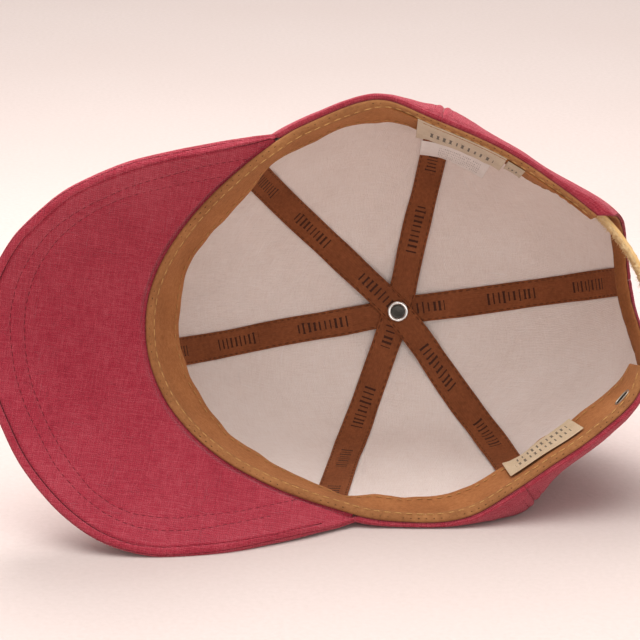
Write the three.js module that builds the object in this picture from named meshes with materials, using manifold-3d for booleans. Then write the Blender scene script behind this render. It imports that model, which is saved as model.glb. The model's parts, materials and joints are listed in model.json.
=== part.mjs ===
// Six-panel strapback cap, stored lying on the wearer's right side.
// Millimetres. The shape is laid out in an opening-facing frame (x right, y into the crown,
// z up across the opening) and the whole is then tipped by TILT so that it rests on z = 0.
import * as THREE from 'three';
import Module from 'manifold-3d';

// ---------- driving dimensions ----------
const TILT = 17 * Math.PI / 180;     // crown axis against the surface the cap lies on
const U = 0.389;                     // mm per outline unit at the opening
const FAR = 1300;                    // distance over which the outline narrows with depth
const HUB = [77.5, 8.5];             // crown centre in outline units
const DEPTH = 115;                   // opening to top of crown
const DOME = 2.2;                    // roundness of the crown profile
const REST = -81.6;                  // lowest line of the opening, for the flattened side
const PANEL = 1.1, LINING = 0.7, GAP = 0.3, SLACK = 0.9, TAPE = 0.6, TAPE_W = 12;
const IN0 = PANEL + SLACK, IN1 = IN0 + LINING, IN2 = IN1 + 1.6;   // lining faces and tape face, in from the outside
const SEAMS = [7.8, 77, 136, 190.7, 250.4, 306];
const ARCH = { mid: 6, half: 20.5, high: 50 };      // back opening, degrees and mm
const BAND = 1.2, BAND_DEEP = 28;
const STRAP = { x: 56.9, z: -13.15, r: 76, t: 1.8, y0: 3.6, y1: 21.4, a0: -20, a1: 51 };
const VISOR_BOARD = 1.6, VISOR_CLOTH = 0.7;

// radius of the opening edge, of the crown wall and of the band's inner edge, every 4 degrees
const RB = [252,250,248,245,240,233,225,217.5,212,207,202,200,197,195,194,192.5,192,192,192.5,194,196.5,200,206,211.5,215,213,212,210,209,209,210,210,209.5,211,212,214,217,220,223.5,228,232,237,242,246,250,252,253.5,254,254,252,250,247,242.5,239,234,230,226,220.5,218,214.5,212,210,208.5,207.5,207.5,209.5,209.5,210.5,211,213,215,217,218,218,216.5,214.5,214.5,215.5,216.5,219,223.5,229,234.5,240.5,248,256,257,256.5,255.5,254];
const R1 = [257,255.5,254.5,254,253,250,245,237,229,221,213,208.5,206,204,203.5,203,204,208,212,214,213.5,213.5,215,218.5,220,219.5,218.5,217.5,217,217,218,219,219,220,221.5,223,226,229,232.5,237,241,246,250.5,254,256.5,258,258.5,258.5,258,256.5,254,251,247,243.5,239.5,235.5,231.5,227.5,224,221,219,217.5,216.5,217,218,219,219.5,220,220.5,221.5,223,226,230,235,240,243,241,236,232,232,234.5,239,245,251,257.5,262,263,262.5,261,259];
const RIN = [236,234,232,228,224,220,215,209,203,197,191,186.5,184,182.5,181,180,179.5,179.5,180,180.5,181.5,183,186,188.5,190,190,190,190,188.5,188,188.5,190.5,192,192,191,190,190.5,193.5,197,200.5,204,208,211.5,214,216,218,219.5,220,219,217,215,213,210.5,208.5,206,202,198.5,196,194,192,190,189,188.5,189,189.5,186,183,184,186,187,188,188.5,189.5,188,186,184.5,186,190,191,191.5,194,198,205,208,218,228,236,240,240,238];

const rad = d => d * Math.PI / 180, deg = r => r * 180 / Math.PI;
const lerp = (a, b, t) => a + (b - a) * t;
const smooth = (a, b, x) => { const t = Math.min(1, Math.max(0, (x - a) / (b - a))); return t * t * (3 - 2 * t); };
function soft(tab) { return tab.map((v, i) => (tab[(i + 89) % 90] + 2 * v + tab[(i + 1) % 90]) / 4); }
const TRB = soft(RB), TR1 = soft(R1), TRIN = soft(RIN);
function at(tab, th) {
  let q = (((th % 360) + 360) % 360) / 4; const i = Math.floor(q), f = q - i;
  const p = k => tab[(i + k + 90) % 90];
  const a = p(-1), b = p(0), c = p(1), d = p(2);
  return b + 0.5 * f * (c - a + f * (2 * a - 5 * b + 4 * c - d + f * (3 * (b - c) + d - a)));
}
const turn = th => ((th % 360) + 540) % 360 - 180;
const gauss = (th, m, s) => Math.exp(-Math.pow(turn(th - m) / s, 2));
const rimY = th => 9 * gauss(th, 191.8, 36);
const bandY = th => BAND_DEEP - 7 * gauss(th, 272, 32);
const lift = th => 4.4 * smooth(122.5, 127, ((th % 360) + 360) % 360) * (1 - smooth(255.5, 260, ((th % 360) + 360) % 360));
// outline unit coordinates + depth -> opening frame
const ray = (u, v, y) => [u * U * (1 + y / FAR), y, v * U * (1 + y / FAR)];
const polar = (th, r, y) => ray(HUB[0] + r * Math.cos(rad(th)), HUB[1] + r * Math.sin(rad(th)), y);
function rest(p) {
  const zf = REST + p[1] * Math.tan(TILT), w = 0.8, d = (p[2] - zf) / w;
  return d > 30 ? p : [p[0], p[1], zf + w * (d < -30 ? 0 : Math.log1p(Math.exp(d)))];
}
function wallRY(th, f) {            // f: 0 at the opening .. PI/2 at the top
  const c = Math.pow(Math.max(0, Math.cos(f)), 2 / DOME), s = Math.pow(Math.max(0, Math.sin(f)), 2 / DOME);
  const y0 = rimY(th), y = y0 + (DEPTH - y0) * s, h = y - y0, a = at(TRB, th) + 5.5 + 7 * gauss(th, 27, 8), b = at(TR1, th);
  return [Math.max(0, b * c - (b - a) * Math.exp(-h / 9) * c), y];
}
const outer = (th, f) => { const [r, y] = wallRY(th, f); return rest(polar(th, r, y)); };
const sub = (a, b) => [a[0] - b[0], a[1] - b[1], a[2] - b[2]];
const add = (a, b, k = 1) => [a[0] + b[0] * k, a[1] + b[1] * k, a[2] + b[2] * k];
const cross = (a, b) => [a[1] * b[2] - a[2] * b[1], a[2] * b[0] - a[0] * b[2], a[0] * b[1] - a[1] * b[0]];
const unit = a => { const l = Math.hypot(...a) || 1; return [a[0] / l, a[1] / l, a[2] / l]; };
function wall(th, f, off) {          // off: mm in from the outside face
  const df = 0.004, r = Math.max(12, wallRY(th, f)[0]), dt = 40 / r;
  const a = sub(outer(th, Math.min(f + df, Math.PI / 2 - 1e-4)), outer(th, Math.max(f - df, 1e-4)));
  const b = sub(outer(th + dt, f), outer(th - dt, f));
  let n = unit(cross(b, a));
  const p = outer(th, f), o = ray(HUB[0], HUB[1], 45);
  if ((p[0] - o[0]) * n[0] + (p[1] - o[1]) * n[1] + (p[2] - o[2]) * n[2] < 0) n = n.map(v => -v);
  return add(p, n, -off);
}
const fOfY = (th, y) => { const y0 = rimY(th); return Math.asin(Math.pow(Math.min(1, Math.max(0, (y - y0) / (DEPTH - y0))), DOME / 2)); };
const fOfR = (th, r) => { let a = fOfY(th, 16), b = Math.PI / 2; for (let i = 0; i < 40; i++) { const m = (a + b) / 2; if (wallRY(th, m)[0] > r) a = m; else b = m; } return (a + b) / 2; };

// ---------- mesh helpers ----------
const wasm = await Module(); wasm.setup();
function geo(P, I) {
  let vol = 0;
  for (let i = 0; i < I.length; i += 3) { const [a, b, c] = [P[I[i]], P[I[i + 1]], P[I[i + 2]]]; const n = cross(b, c); vol += a[0] * n[0] + a[1] * n[1] + a[2] * n[2]; }
  if (vol < 0) for (let i = 0; i < I.length; i += 3) [I[i + 1], I[i + 2]] = [I[i + 2], I[i + 1]];
  const g = new THREE.BufferGeometry();
  g.setAttribute('position', new THREE.Float32BufferAttribute(P.flat(), 3)); g.setIndex(I); g.computeVertexNormals();
  return g;
}
function shell(A, B) {               // two equal grids of points -> one closed slab
  const n = A.length, m = A[0].length, P = [...A.flat(), ...B.flat()], I = [], k = (s, i, j) => s * n * m + i * m + j;
  const quad = (a, b, c, d) => I.push(a, b, c, a, c, d);
  for (let i = 0; i + 1 < n; i++) for (let j = 0; j + 1 < m; j++) { quad(k(0, i, j), k(0, i + 1, j), k(0, i + 1, j + 1), k(0, i, j + 1)); quad(k(1, i, j), k(1, i, j + 1), k(1, i + 1, j + 1), k(1, i + 1, j)); }
  for (let i = 0; i + 1 < n; i++) { quad(k(0, i, 0), k(1, i, 0), k(1, i + 1, 0), k(0, i + 1, 0)); quad(k(0, i, m - 1), k(0, i + 1, m - 1), k(1, i + 1, m - 1), k(1, i, m - 1)); }
  for (let j = 0; j + 1 < m; j++) { quad(k(0, 0, j), k(0, 0, j + 1), k(1, 0, j + 1), k(1, 0, j)); quad(k(0, n - 1, j), k(1, n - 1, j), k(1, n - 1, j + 1), k(0, n - 1, j + 1)); }
  return geo(P, I);
}
function toMan(g) {
  const q = g.index ? g : null, p = g.attributes.position, map = new Map(), vp = [], tv = [];
  const idx = g.index ? [...g.index.array] : [...Array(p.count).keys()];
  for (const i of idx) { const key = [p.getX(i), p.getY(i), p.getZ(i)].map(v => Math.round(v * 1e5)).join(); if (!map.has(key)) { map.set(key, vp.length / 3); vp.push(p.getX(i), p.getY(i), p.getZ(i)); } tv.push(map.get(key)); }
  const t = []; for (let i = 0; i < tv.length; i += 3) if (tv[i] !== tv[i + 1] && tv[i + 1] !== tv[i + 2] && tv[i] !== tv[i + 2]) t.push(tv[i], tv[i + 1], tv[i + 2]);
  return new wasm.Manifold(new wasm.Mesh({ numProp: 3, vertProperties: new Float32Array(vp), triVerts: new Uint32Array(t) }));
}
function fromMan(m) {
  const q = m.getMesh(), P = []; for (let i = 0; i < q.vertProperties.length; i += q.numProp) P.push([q.vertProperties[i], q.vertProperties[i + 1], q.vertProperties[i + 2]]);
  return geo(P, [...q.triVerts]);
}
const group = new THREE.Group(); group.name = 'strapback_cap';
const MAT = {
  linen: [0xa83545, 0.9, 0], lining: [0xe2d2cb, 0.92, 0], tape: [0x6a3a20, 0.75, 0], suede: [0x9a5e38, 0.85, 0], binding: [0xa8713f, 0.8, 0],
  board: [0xd8d4c8, 0.7, 0], leather: [0xd6a85e, 0.6, 0], steel: [0xc9c9c6, 0.3, 1], label: [0xcdbfa8, 0.85, 0], satin: [0xe8e2de, 0.5, 0],
};
function put(name, g, m) {
  const [c, r, t] = MAT[m];
  const mesh = new THREE.Mesh(g, new THREE.MeshStandardMaterial({ color: c, roughness: r, metalness: t })); mesh.name = name; group.add(mesh);
}

// ---------- crown: six outer panels and six lining panels ----------
function archY(th, half, high, mid = ARCH.mid) { const q = turn(th - mid) / half; return Math.abs(q) >= 1 ? 0 : high * Math.sqrt(1 - q * q); }
function columns(a, b, n) {          // column angles from seam a to seam b, packed along the back opening
  const wide = ARCH.half + 3.9, m = ARCH.mid, list = [];
  const edge = [wide, wide * Math.cos(rad(15)), wide * Math.cos(rad(30)), ARCH.half, ARCH.half * Math.cos(rad(22)), ARCH.half * Math.cos(rad(42)), ARCH.half * Math.cos(rad(62))];
  if (a < m + wide && b > m + wide) {
    list.push(a); [...edge].reverse().forEach(q => list.push(m + q));
    for (let i = 1; i < n; i++) list.push(lerp(m + wide, b - 4.3, i / (n - 1)));
    list.push(b);
  } else if (a < m - wide && b > m - wide) {
    list.push(a); for (let i = 0; i < n - 1; i++) list.push(lerp(a + 4.3, m - wide, i / (n - 1)));
    edge.forEach(q => list.push(m - q)); list.push(m + 0, b);
  } else { list.push(a); for (let i = 0; i < n; i++) list.push(lerp(a + 4.3, b - 4.3, i / (n - 1))); list.push(b); }
  return list;
}
function panel(a, b, o0, o1, half, high, base, rEnd, n, m, sub) {
  const cols = columns(a, b, n), A = [], B = [], last = cols.length - 1;
  cols.forEach((th, i) => {
    const y0 = rimY(th), y = Math.max(base(th), y0 + archY(th, half, high)), f0 = fOfY(th, y), f1 = fOfR(th, rEnd);
    const yr = Math.max(y0 + 6.5, y0 + archY(th, ARCH.half + 3.9, ARCH.high + 6.2) + 1), fr = fOfY(th, yr);
    const ra = [], rb = [], k = sub.length - 1;
    for (let j = 0; j <= m; j++) {
      const f = j === 0 ? f0 : j < k ? fOfY(th, lerp(y, yr, sub[j])) : lerp(fr, f1, (j - k) / (m - k)), r = wallRY(th, f)[0] * U;
      const s = i === 0 ? deg(0.2 / r) : i === last ? -deg(0.2 / r) : 0;
      ra.push(wall(th + s, f, o0)); rb.push(wall(th + s, f, o1));
    }
    A.push(ra); B.push(rb);
  });
  return shell(A, B);
}
const NAMES = { 0: 'back_panel_left', 1: 'side_panel_left', 2: 'front_panel_left', 3: 'front_panel_right', 4: 'side_panel_right', 5: 'back_panel_right' };
for (let k = 0; k < 6; k++) {
  const a = k === 5 ? SEAMS[5] - 360 : SEAMS[k], b = k === 5 ? SEAMS[0] : SEAMS[k + 1];
  put(NAMES[k], panel(a, b, 0, PANEL, ARCH.half, ARCH.high, th => rimY(th) + lift(th), 10, 6, 11, [0, 0.28, 0.62, 1]), 'linen');
}
for (let k = 0; k < 6; k++) {
  const a = k === 5 ? SEAMS[5] - 360 : SEAMS[k], b = k === 5 ? SEAMS[0] : SEAMS[k + 1];
  put(NAMES[k].replace('panel', 'lining'), panel(a, b, IN0, IN1, ARCH.half + 3.9, ARCH.high + 6.2, th => rimY(th) + 5.2 , 10, 6, 9, [0, 1]), 'lining');
}
// ---------- seam tapes, crossing under the rivet ----------
function tape(a, b, level, yA, yB) {
  const rA = wallRY(a, fOfY(a, yA))[0], rB = wallRY(b, fOfY(b, yB))[0], st = [];
  const sideA = []; for (let i = 0; i <= 8; i++) { const f = lerp(fOfY(a, yA), fOfR(a, 14), Math.pow(i / 8, 0.9)); sideA.push(wallRY(a, f)[0]); }
  const sideB = []; for (let i = 0; i <= 8; i++) { const f = lerp(fOfY(b, yB), fOfR(b, 14), Math.pow(i / 8, 0.9)); sideB.push(wallRY(b, f)[0]); }
  sideA.forEach(r => st.push([a, r])); st.push([null, 0]); sideB.reverse().forEach(r => st.push([b, r]));
  const A = [], B = [];
  const ua = [Math.cos(rad(a)), Math.sin(rad(a))], ub = [Math.cos(rad(b)), Math.sin(rad(b))];
  for (const [th, r] of st) {
    const dir = th === null ? unit([ub[0] - ua[0], ub[1] - ua[1], 0]) : th === a ? [-ua[0], -ua[1]] : [ub[0], ub[1]];
    const c = th === null ? [0, 0] : [r * Math.cos(rad(th)), r * Math.sin(rad(th))];
    const per = [-dir[1], dir[0]], ra = [], rb = [];
    for (let j = 0; j <= 1; j++) {
      const yy = th === null ? DEPTH : wallRY(th, fOfR(th, r))[1];
      const w = (j - 0.5) * TAPE_W / (U * (1 + yy / FAR)), q = [c[0] + per[0] * w, c[1] + per[1] * w];
      const R = Math.hypot(...q), T = deg(Math.atan2(q[1], q[0])), f = fOfR(T, R);
      const up = 0.9 * level * (1 - smooth(36, 80, R)), o = IN2 + up;
      ra.push(wall(T, f, o)); rb.push(wall(T, f, o + TAPE));
    }
    A.push(ra); B.push(rb);
  }
  return shell(A, B);
}
put('seam_tape_front_back', tape(190.7, 7.8, 0, rimY(190.7) + 25, 57.5), 'tape');
put('seam_tape_left_side', tape(77, 250.4, 1, 25, rimY(250) + 22), 'tape');
put('seam_tape_right_side', tape(136, 306, 2, rimY(136) + 24, 22), 'tape');

// ---------- sweatband and its folded edge ----------
function bandPt(th, s, off) {        // s: 0 at the opening edge .. 1 at the inner edge
  const ro = at(TRB, th) - 8.6, ri = at(TRIN, th), y0 = rimY(th) + 3.2, y1 = rimY(th) * 0.6 + bandY(th);
  const y = lerp(y0, y1, s), r = lerp(ro, ri, Math.pow(s, 1.15));
  const p = polar(th, r, y), d = unit([(ri - ro) * U * Math.cos(rad(th)), y1 - y0, (ri - ro) * U * Math.sin(rad(th))]);
  const tn = [-Math.sin(rad(th)), 0, Math.cos(rad(th))]; let n = unit(cross(d, tn));
  if (n[0] * Math.cos(rad(th)) + n[2] * Math.sin(rad(th)) < 0) n = n.map(v => -v);
  return add(p, n, off);             // off: outward, towards the wall
}
{
  const A = [], B = [], n = 42;
  for (let i = 0; i <= n; i++) {
    const th = lerp(28.5, 343.5, i / n), a = [], b = [];
    for (let j = 0; j <= 2; j++) { a.push(bandPt(th, j / 2, 0)); b.push(bandPt(th, j / 2, BAND)); }
    A.push(a); B.push(b);
  }
  put('sweatband', shell(A, B), 'suede');
  const C = [], D = [];
  for (let i = 0; i <= n; i++) {
    const th = lerp(28.5, 343.5, i / n), rb = at(TRB, th), y = rimY(th), c = [], d = [];
    [[-9.4, 1.3, 2.6], [-4, 0.1, 2.6], [-0.6, 0.6, 1.8]].forEach(([q, lo, hi]) => { c.push(polar(th, rb + q, y + lo)); d.push(polar(th, rb + q, y + hi)); });
    C.push(c); D.push(d);
  }
  put('sweatband_binding', shell(C, D), 'binding');
}
// ---------- visor ----------
const EDGE = [[277,135.2,2.2],[249,139,-4],[210,146.2,-14],[170,154.2,-23],[130,163.8,-31],[90,179.5,-37],[60,195.5,-39],[30,220.8,-38],[10,242.8,-35],[-8,276,-29],[-17,312,-22],[-19.5,345,-18.5],[-15,383,-17],[0,423.4,-18],[20,464,-20.5],[50,502.6,-24],[81,529.3,-27],[111,545,-29],[150,554.4,-29.5],[190,553.8,-28],[230,549.4,-24.5],[270,541,-18],[309,532.4,-10],[335,527,-3],[356.5,519.6,1.6]]
  .map(([x, y, d]) => [x - 320, 320 - y, d]);
function alongEdge(u) {
  const L = [0]; for (let i = 1; i < EDGE.length; i++) L.push(L[i - 1] + Math.hypot(EDGE[i][0] - EDGE[i - 1][0], EDGE[i][1] - EDGE[i - 1][1]));
  const s = u * L[L.length - 1]; let i = 1; while (i < L.length - 1 && L[i] < s) i++;
  const f = (s - L[i - 1]) / (L[i] - L[i - 1]), g = k => EDGE[Math.min(EDGE.length - 1, Math.max(0, k))];
  return [0, 1, 2].map(c => { const a = g(i - 2)[c], b = g(i - 1)[c], e = g(i)[c], d = g(i + 1)[c]; return b + 0.5 * f * (e - a + f * (2 * a - 5 * b + 4 * e - d + f * (3 * (b - e) + d - a))); });
}
function visorMid(u, w) {
  const th = lerp(125.2, 258.0, u), r = at(TRB, th) + 4.6, e = alongEdge(u);
  const i = [HUB[0] + r * Math.cos(rad(th)), HUB[1] + r * Math.sin(rad(th))];
  const y0 = rimY(th) + 2.0, g = 0.75 * w + 0.25 * w * w;
  return ray(lerp(i[0], e[0], w), lerp(i[1], e[1], w), lerp(y0, e[2], g));
}
function visorPt(u, w, off) {        // off: mm towards the outside of the cap (away from the opening)
  const a = sub(visorMid(Math.min(1, u + 0.004), w), visorMid(Math.max(0, u - 0.004), w));
  const w0 = Math.min(0.97, Math.max(0.03, w)), b = sub(visorMid(u, w0 + 0.03), visorMid(u, w0 - 0.03));
  let n = unit(cross(a, b)); if (n[1] < 0) n = n.map(v => -v);
  return add(visorMid(u, w), n, off);
}
function visorLayer(name, lo, hi, w0, w1, mat, pinch) {
  const A = [], B = [], n = 26, W = pinch ? [0, .3, .6, .88, 1] : [0, .5, 1];
  for (let i = 0; i <= n; i++) {
    const u = lerp(pinch ? 0.012 : 0.1, pinch ? 0.988 : 0.9, i / n), a = [], b = [];
    const full = Math.min(1, smooth(0, 0.09, u) , smooth(1, 0.91, u));
    for (const q of W) {
      const w = lerp(w0, w1, q), p = pinch ? lerp(1, 0.42, smooth(0.88, 1, w)) : 1, s = pinch ? p * lerp(0.55, 1, full) : 1;
      const c = Math.sign(lo + hi), near = c * 0.16, L = Math.min(Math.abs(lo), Math.abs(hi)), H = Math.max(Math.abs(lo), Math.abs(hi));
      if (pinch) { const h = H * s, l = Math.max(0.16, h - (H - L)); a.push(visorPt(u, w, c * l)); b.push(visorPt(u, w, c * h)); }
      else { a.push(visorPt(u, w, lo)); b.push(visorPt(u, w, hi)); }
    }
    A.push(a); B.push(b);
  }
  put(name, shell(A, B), mat);
}
const hb = VISOR_BOARD / 2;
visorLayer('visor_board', -hb + 0.15, hb - 0.15, 0.05, 0.84, 'board', false);
visorLayer('visor_top_cover', hb + GAP, hb + GAP + VISOR_CLOTH, 0, 1, 'linen', true);
visorLayer('visor_under_cover', -hb - GAP, -hb - GAP - VISOR_CLOTH, 0, 1, 'linen', true);

// ---------- binding of the back opening ----------
{
  const A = [], B = [], n = 20, o = PANEL + 0.6;
  for (let i = 0; i <= n; i++) {
    const ps = lerp(0.085, Math.PI - 0.085, i / n), a = [], b = [];
    for (let j = 0; j <= 1; j++) {
      const g = lerp(0.1, 5.2, j), half = ARCH.half + deg(g / 98), high = ARCH.high + g, th = ARCH.mid + half * Math.cos(ps), y = Math.max(4.2, high * Math.sin(ps)), f = fOfY(th, y);
      a.push(wall(th, f, o)); b.push(wall(th, f, o + 0.7));
    }
    A.push(a); B.push(b);
  }
  put('back_arch_binding', shell(A, B), 'tape');
}
// ---------- strap, clasp and slot eyelet ----------
const onArc = (a, r, y) => [STRAP.x + r * Math.cos(rad(a)), y, STRAP.z + r * Math.sin(rad(a))];
{
  const A = [], B = [], n = 18;
  for (let i = 0; i <= n; i++) {
    const a = lerp(STRAP.a0, STRAP.a1, i / n);
    const cut = i === 0 ? 4 : i === 1 ? 1 : 0;
    const ys = [0, 1].map(q => lerp(STRAP.y0 + cut, STRAP.y1 - cut, q));
    A.push(ys.map(y => onArc(a, STRAP.r - STRAP.t / 2, y))); B.push(ys.map(y => onArc(a, STRAP.r + STRAP.t / 2, y)));
  }
  put('strap', shell(A, B), 'leather');
}
function arcBox(a0, a1, r0, r1, y0, y1, n = 3) {
  const A = [], B = []; for (let i = 0; i <= n; i++) { const a = lerp(a0, a1, i / n); A.push([y0, y1].map(y => onArc(a, r0, y))); B.push([y0, y1].map(y => onArc(a, r1, y))); } return shell(A, B);
}
const CL = { a0: -15.6, a1: -8.6, pin: -8.2, pr: STRAP.r + 3.6 };
function rod(a, r, rad_, y0, y1, seg = 12) {
  const g = new THREE.CylinderGeometry(rad_, rad_, y1 - y0, seg); const c = onArc(a, r, (y0 + y1) / 2); g.translate(c[0], c[1], c[2]); return g;
}
{
  const ym = STRAP.y0 - 2, yM = STRAP.y1 + 2;
  let frame = toMan(arcBox(CL.a0, CL.a1, STRAP.r - 1.9, STRAP.r + 2.0, ym, yM)).subtract(toMan(arcBox(CL.a0 - 2, CL.a1 + 2, STRAP.r - 1.25, STRAP.r + 1.25, STRAP.y0 - 0.5, STRAP.y1 + 0.5, 5)));
  for (const [y0, y1] of [[ym, ym + 1.6], [yM - 1.6, yM]]) frame = frame.add(toMan(rod(CL.pin, CL.pr, 1.6, y0, y1))).add(toMan(arcBox(CL.a1 - 1.6, CL.a1, STRAP.r + 1, CL.pr, y0, y1)));
  frame = frame.subtract(toMan(rod(CL.pin, CL.pr, 0.95, ym - 2, yM + 2)));
  put('clasp_frame', fromMan(frame), 'steel');
  put('clasp_pin', rod(CL.pin, CL.pr, 0.6, ym + 0.1, yM - 0.1), 'steel');
  const l0 = ym + 2.0, l1 = yM - 2.0;
  let lever = toMan(arcBox(CL.a0 - 1.2, CL.pin, STRAP.r + 2.5, STRAP.r + 3.6, l0, l1, 4)).add(toMan(rod(CL.pin, CL.pr, 1.5, l0, l1)));
  lever = lever.subtract(toMan(rod(CL.pin, CL.pr, 0.95, l0 - 2, l1 + 2)));
  put('clasp_lever', fromMan(lever), 'steel');
  put('clasp_tab', arcBox(-18.5, -8.8, STRAP.r - 2.6, STRAP.r - 2.12, STRAP.y0 - 0.6, STRAP.y1 + 0.6, 3), 'linen');
}
{ // oblong eyelet ring lying on the band
  const th = -20.8, s = 0.42, out = [], seg = 16;
  const c = bandPt(th, s, -1.1), t = unit(sub(bandPt(th + 1, s, 0), bandPt(th - 1, s, 0))), d = unit(sub(bandPt(th, s + 0.05, 0), bandPt(th, s - 0.05, 0)));
  let n = unit(cross(t, d)); if (n[0] * Math.cos(rad(th)) + n[2] * Math.sin(rad(th)) > 0) n = n.map(v => -v);
  const P = [], I = [], ring = [[1, 0], [0.86, 0.75], [0.68, 0.75], [0.6, 0]];
  for (let i = 0; i < seg; i++) { const q = 2 * Math.PI * i / seg; ring.forEach(([k, h]) => P.push(add(add(add(c, t, 4.2 * k * Math.cos(q)), d, 3.3 * (k - 0.08 * (1 - k)) * Math.sin(q)), n, h))); }
  for (let i = 0; i < seg; i++) for (let j = 0; j < 4; j++) { const i2 = (i + 1) % seg, j2 = (j + 1) % 4; I.push(i * 4 + j, i2 * 4 + j, i2 * 4 + j2, i * 4 + j, i2 * 4 + j2, i * 4 + j2); }
  put('slot_eyelet', geo(P, I), 'steel');
}
// ---------- labels ----------
function bandLabel(name, a0, a1, s0, s1, off, t, mat) {
  const A = [], B = []; for (let i = 0; i <= 6; i++) { const th = lerp(a0, a1, i / 6), a = [], b = []; for (let j = 0; j <= 1; j++) { const s = lerp(s0, s1, j); a.push(bandPt(th, s, -off)); b.push(bandPt(th, s, -off - t)); } A.push(a); B.push(b); }
  put(name, shell(A, B), mat);
}
bandLabel('brand_label', 54.5, 83.5, 0.1, 0.98, 0.35, 0.5, 'label');
bandLabel('origin_label', -55.5, -32, 0.28, 0.93, 0.35, 0.5, 'label');
bandLabel('size_label', 48.3, 53.6, 0.1, 0.98, 0.35, 0.4, 'label');
{ // care label hangs from the band's inner edge along the lining
  const A = [], B = [];
  for (let i = 0; i <= 6; i++) { const th = lerp(60.5, 81.5, i / 6), a = [], b = []; for (let j = 0; j <= 3; j++) { const y = lerp(31, 51, j / 3), r = lerp(173, 159, j / 3) - 1.2 * Math.sin(Math.PI * j / 3); a.push(polar(th, r, y)); b.push(polar(th, r - 1.1, y)); } A.push(a); B.push(b); }
  put('care_label', shell(A, B), 'satin');
}
// ---------- top button and its inner rivet ----------
function lathe(prof, seg, y) { const g = new THREE.LatheGeometry(prof.map(p => new THREE.Vector2(...p)), seg); const c = ray(HUB[0], HUB[1], y); g.translate(c[0], 0, c[2]); return fromMan(toMan(g)); }
{
  const y = DEPTH;
  put('top_button', lathe([[0, y + 0.35], [7.2, y + 0.35 - 0.2], [7.8, y + 1.2], [7.2, y + 2.6], [5, y + 4.1], [2.5, y + 4.8], [0, y + 5]], 18, y), 'linen');
  const b = DEPTH - (IN2 + TAPE + 1.8) - 0.5;
  put('rivet', lathe([[0, b], [4.3, b], [4.45, b - 0.5], [4.1, b - 1.2], [3.6, b - 1.3], [3.2, b - 0.9], [0, b - 0.8]], 18, y), 'steel');
}
// ---------- tip onto the resting plane, put the origin under the middle ----------
const ce = Math.cos(TILT), se = Math.sin(TILT);
const box = new THREE.Box3();
group.traverse(o => { if (!o.isMesh) return; const p = o.geometry.attributes.position; for (let i = 0; i < p.count; i++) { const x = p.getX(i), y = p.getY(i), z = p.getZ(i); p.setXYZ(i, x, y * ce + z * se, -y * se + z * ce); } p.needsUpdate = true; o.geometry.deleteAttribute('normal'); o.geometry.computeVertexNormals(); o.geometry.computeBoundingBox(); box.union(o.geometry.boundingBox); });
const mid = box.getCenter(new THREE.Vector3());
const SHIFT = [-mid.x, -mid.y, -box.min.z];
group.traverse(o => { if (o.isMesh) o.geometry.translate(...SHIFT); });
export default group;
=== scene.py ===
# Six-panel strapback cap: linen crown and visor, white lining, brown seam tapes, suede-like sweatband,
# leather strap with a small lever clasp. The cap lies on the wearer's right side, opening to the camera.
import bpy, json, math
import numpy as np
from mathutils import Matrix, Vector

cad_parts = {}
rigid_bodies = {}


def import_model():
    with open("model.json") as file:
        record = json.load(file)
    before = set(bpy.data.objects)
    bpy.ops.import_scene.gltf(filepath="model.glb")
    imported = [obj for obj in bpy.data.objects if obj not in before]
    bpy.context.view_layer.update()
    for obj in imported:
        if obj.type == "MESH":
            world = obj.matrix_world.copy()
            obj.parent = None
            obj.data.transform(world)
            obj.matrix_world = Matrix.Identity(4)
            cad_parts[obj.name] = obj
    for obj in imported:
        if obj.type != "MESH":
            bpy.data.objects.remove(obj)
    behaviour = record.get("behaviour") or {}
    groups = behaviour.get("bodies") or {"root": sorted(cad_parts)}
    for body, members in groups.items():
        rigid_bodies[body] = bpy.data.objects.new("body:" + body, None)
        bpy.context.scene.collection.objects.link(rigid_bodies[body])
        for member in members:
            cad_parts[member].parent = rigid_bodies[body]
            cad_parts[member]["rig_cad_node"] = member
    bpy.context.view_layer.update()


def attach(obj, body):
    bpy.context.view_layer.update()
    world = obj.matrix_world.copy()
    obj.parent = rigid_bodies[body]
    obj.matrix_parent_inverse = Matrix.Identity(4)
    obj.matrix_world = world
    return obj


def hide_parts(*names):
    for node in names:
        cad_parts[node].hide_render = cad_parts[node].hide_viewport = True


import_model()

scene = bpy.context.scene

# ---------------------------------------------------------------- camera
cam = bpy.data.objects.new("camera", bpy.data.cameras.new("camera"))
cam.location = (-0.00345, -1.27416, 0.45812)
cam.rotation_euler = (math.radians(73), 0, 0)
cam.data.lens, cam.data.sensor_width = 187.98, 36.0
cam.data.clip_start, cam.data.clip_end = 0.05, 20
scene.collection.objects.link(cam)
scene.camera = cam

# ---------------------------------------------------------------- shape functions (opening frame, mm)
PI = math.pi
TILT = 17 * PI / 180
SHIFT = (-3.449554443359375, -30.96040916442871, 78.03446960449219)
U, FAR, HUB, DEPTH, DOME, REST = 0.389, 1300.0, (77.5, 8.5), 115.0, 2.2, -81.6
PANEL, IN0, IN1 = 1.1, 2.0, 2.7
IN2 = IN1 + 1.6
SEAMS = [7.8, 77, 136, 190.7, 250.4, 306]
ARCH_MID, ARCH_HALF, ARCH_HIGH = 6.0, 18.0, 50.0
STRAP = dict(x=56.9, z=-13.15, r=76.0, t=1.8, y0=3.6, y1=21.4, a0=-20.0, a1=51.0)
RB = [252,250,248,245,240,233,225,217.5,212,207,202,200,197,195,194,192.5,192,192,192.5,194,196.5,200,206,211.5,215,213,212,210,209,209,210,210,209.5,211,212,214,217,220,223.5,228,232,237,242,246,250,252,253.5,254,254,252,250,247,242.5,239,234,230,226,220.5,218,214.5,212,210,208.5,207.5,207.5,209.5,209.5,210.5,211,213,215,217,218,218,216.5,214.5,214.5,215.5,216.5,219,223.5,229,234.5,240.5,248,256,257,256.5,255.5,254]
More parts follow.
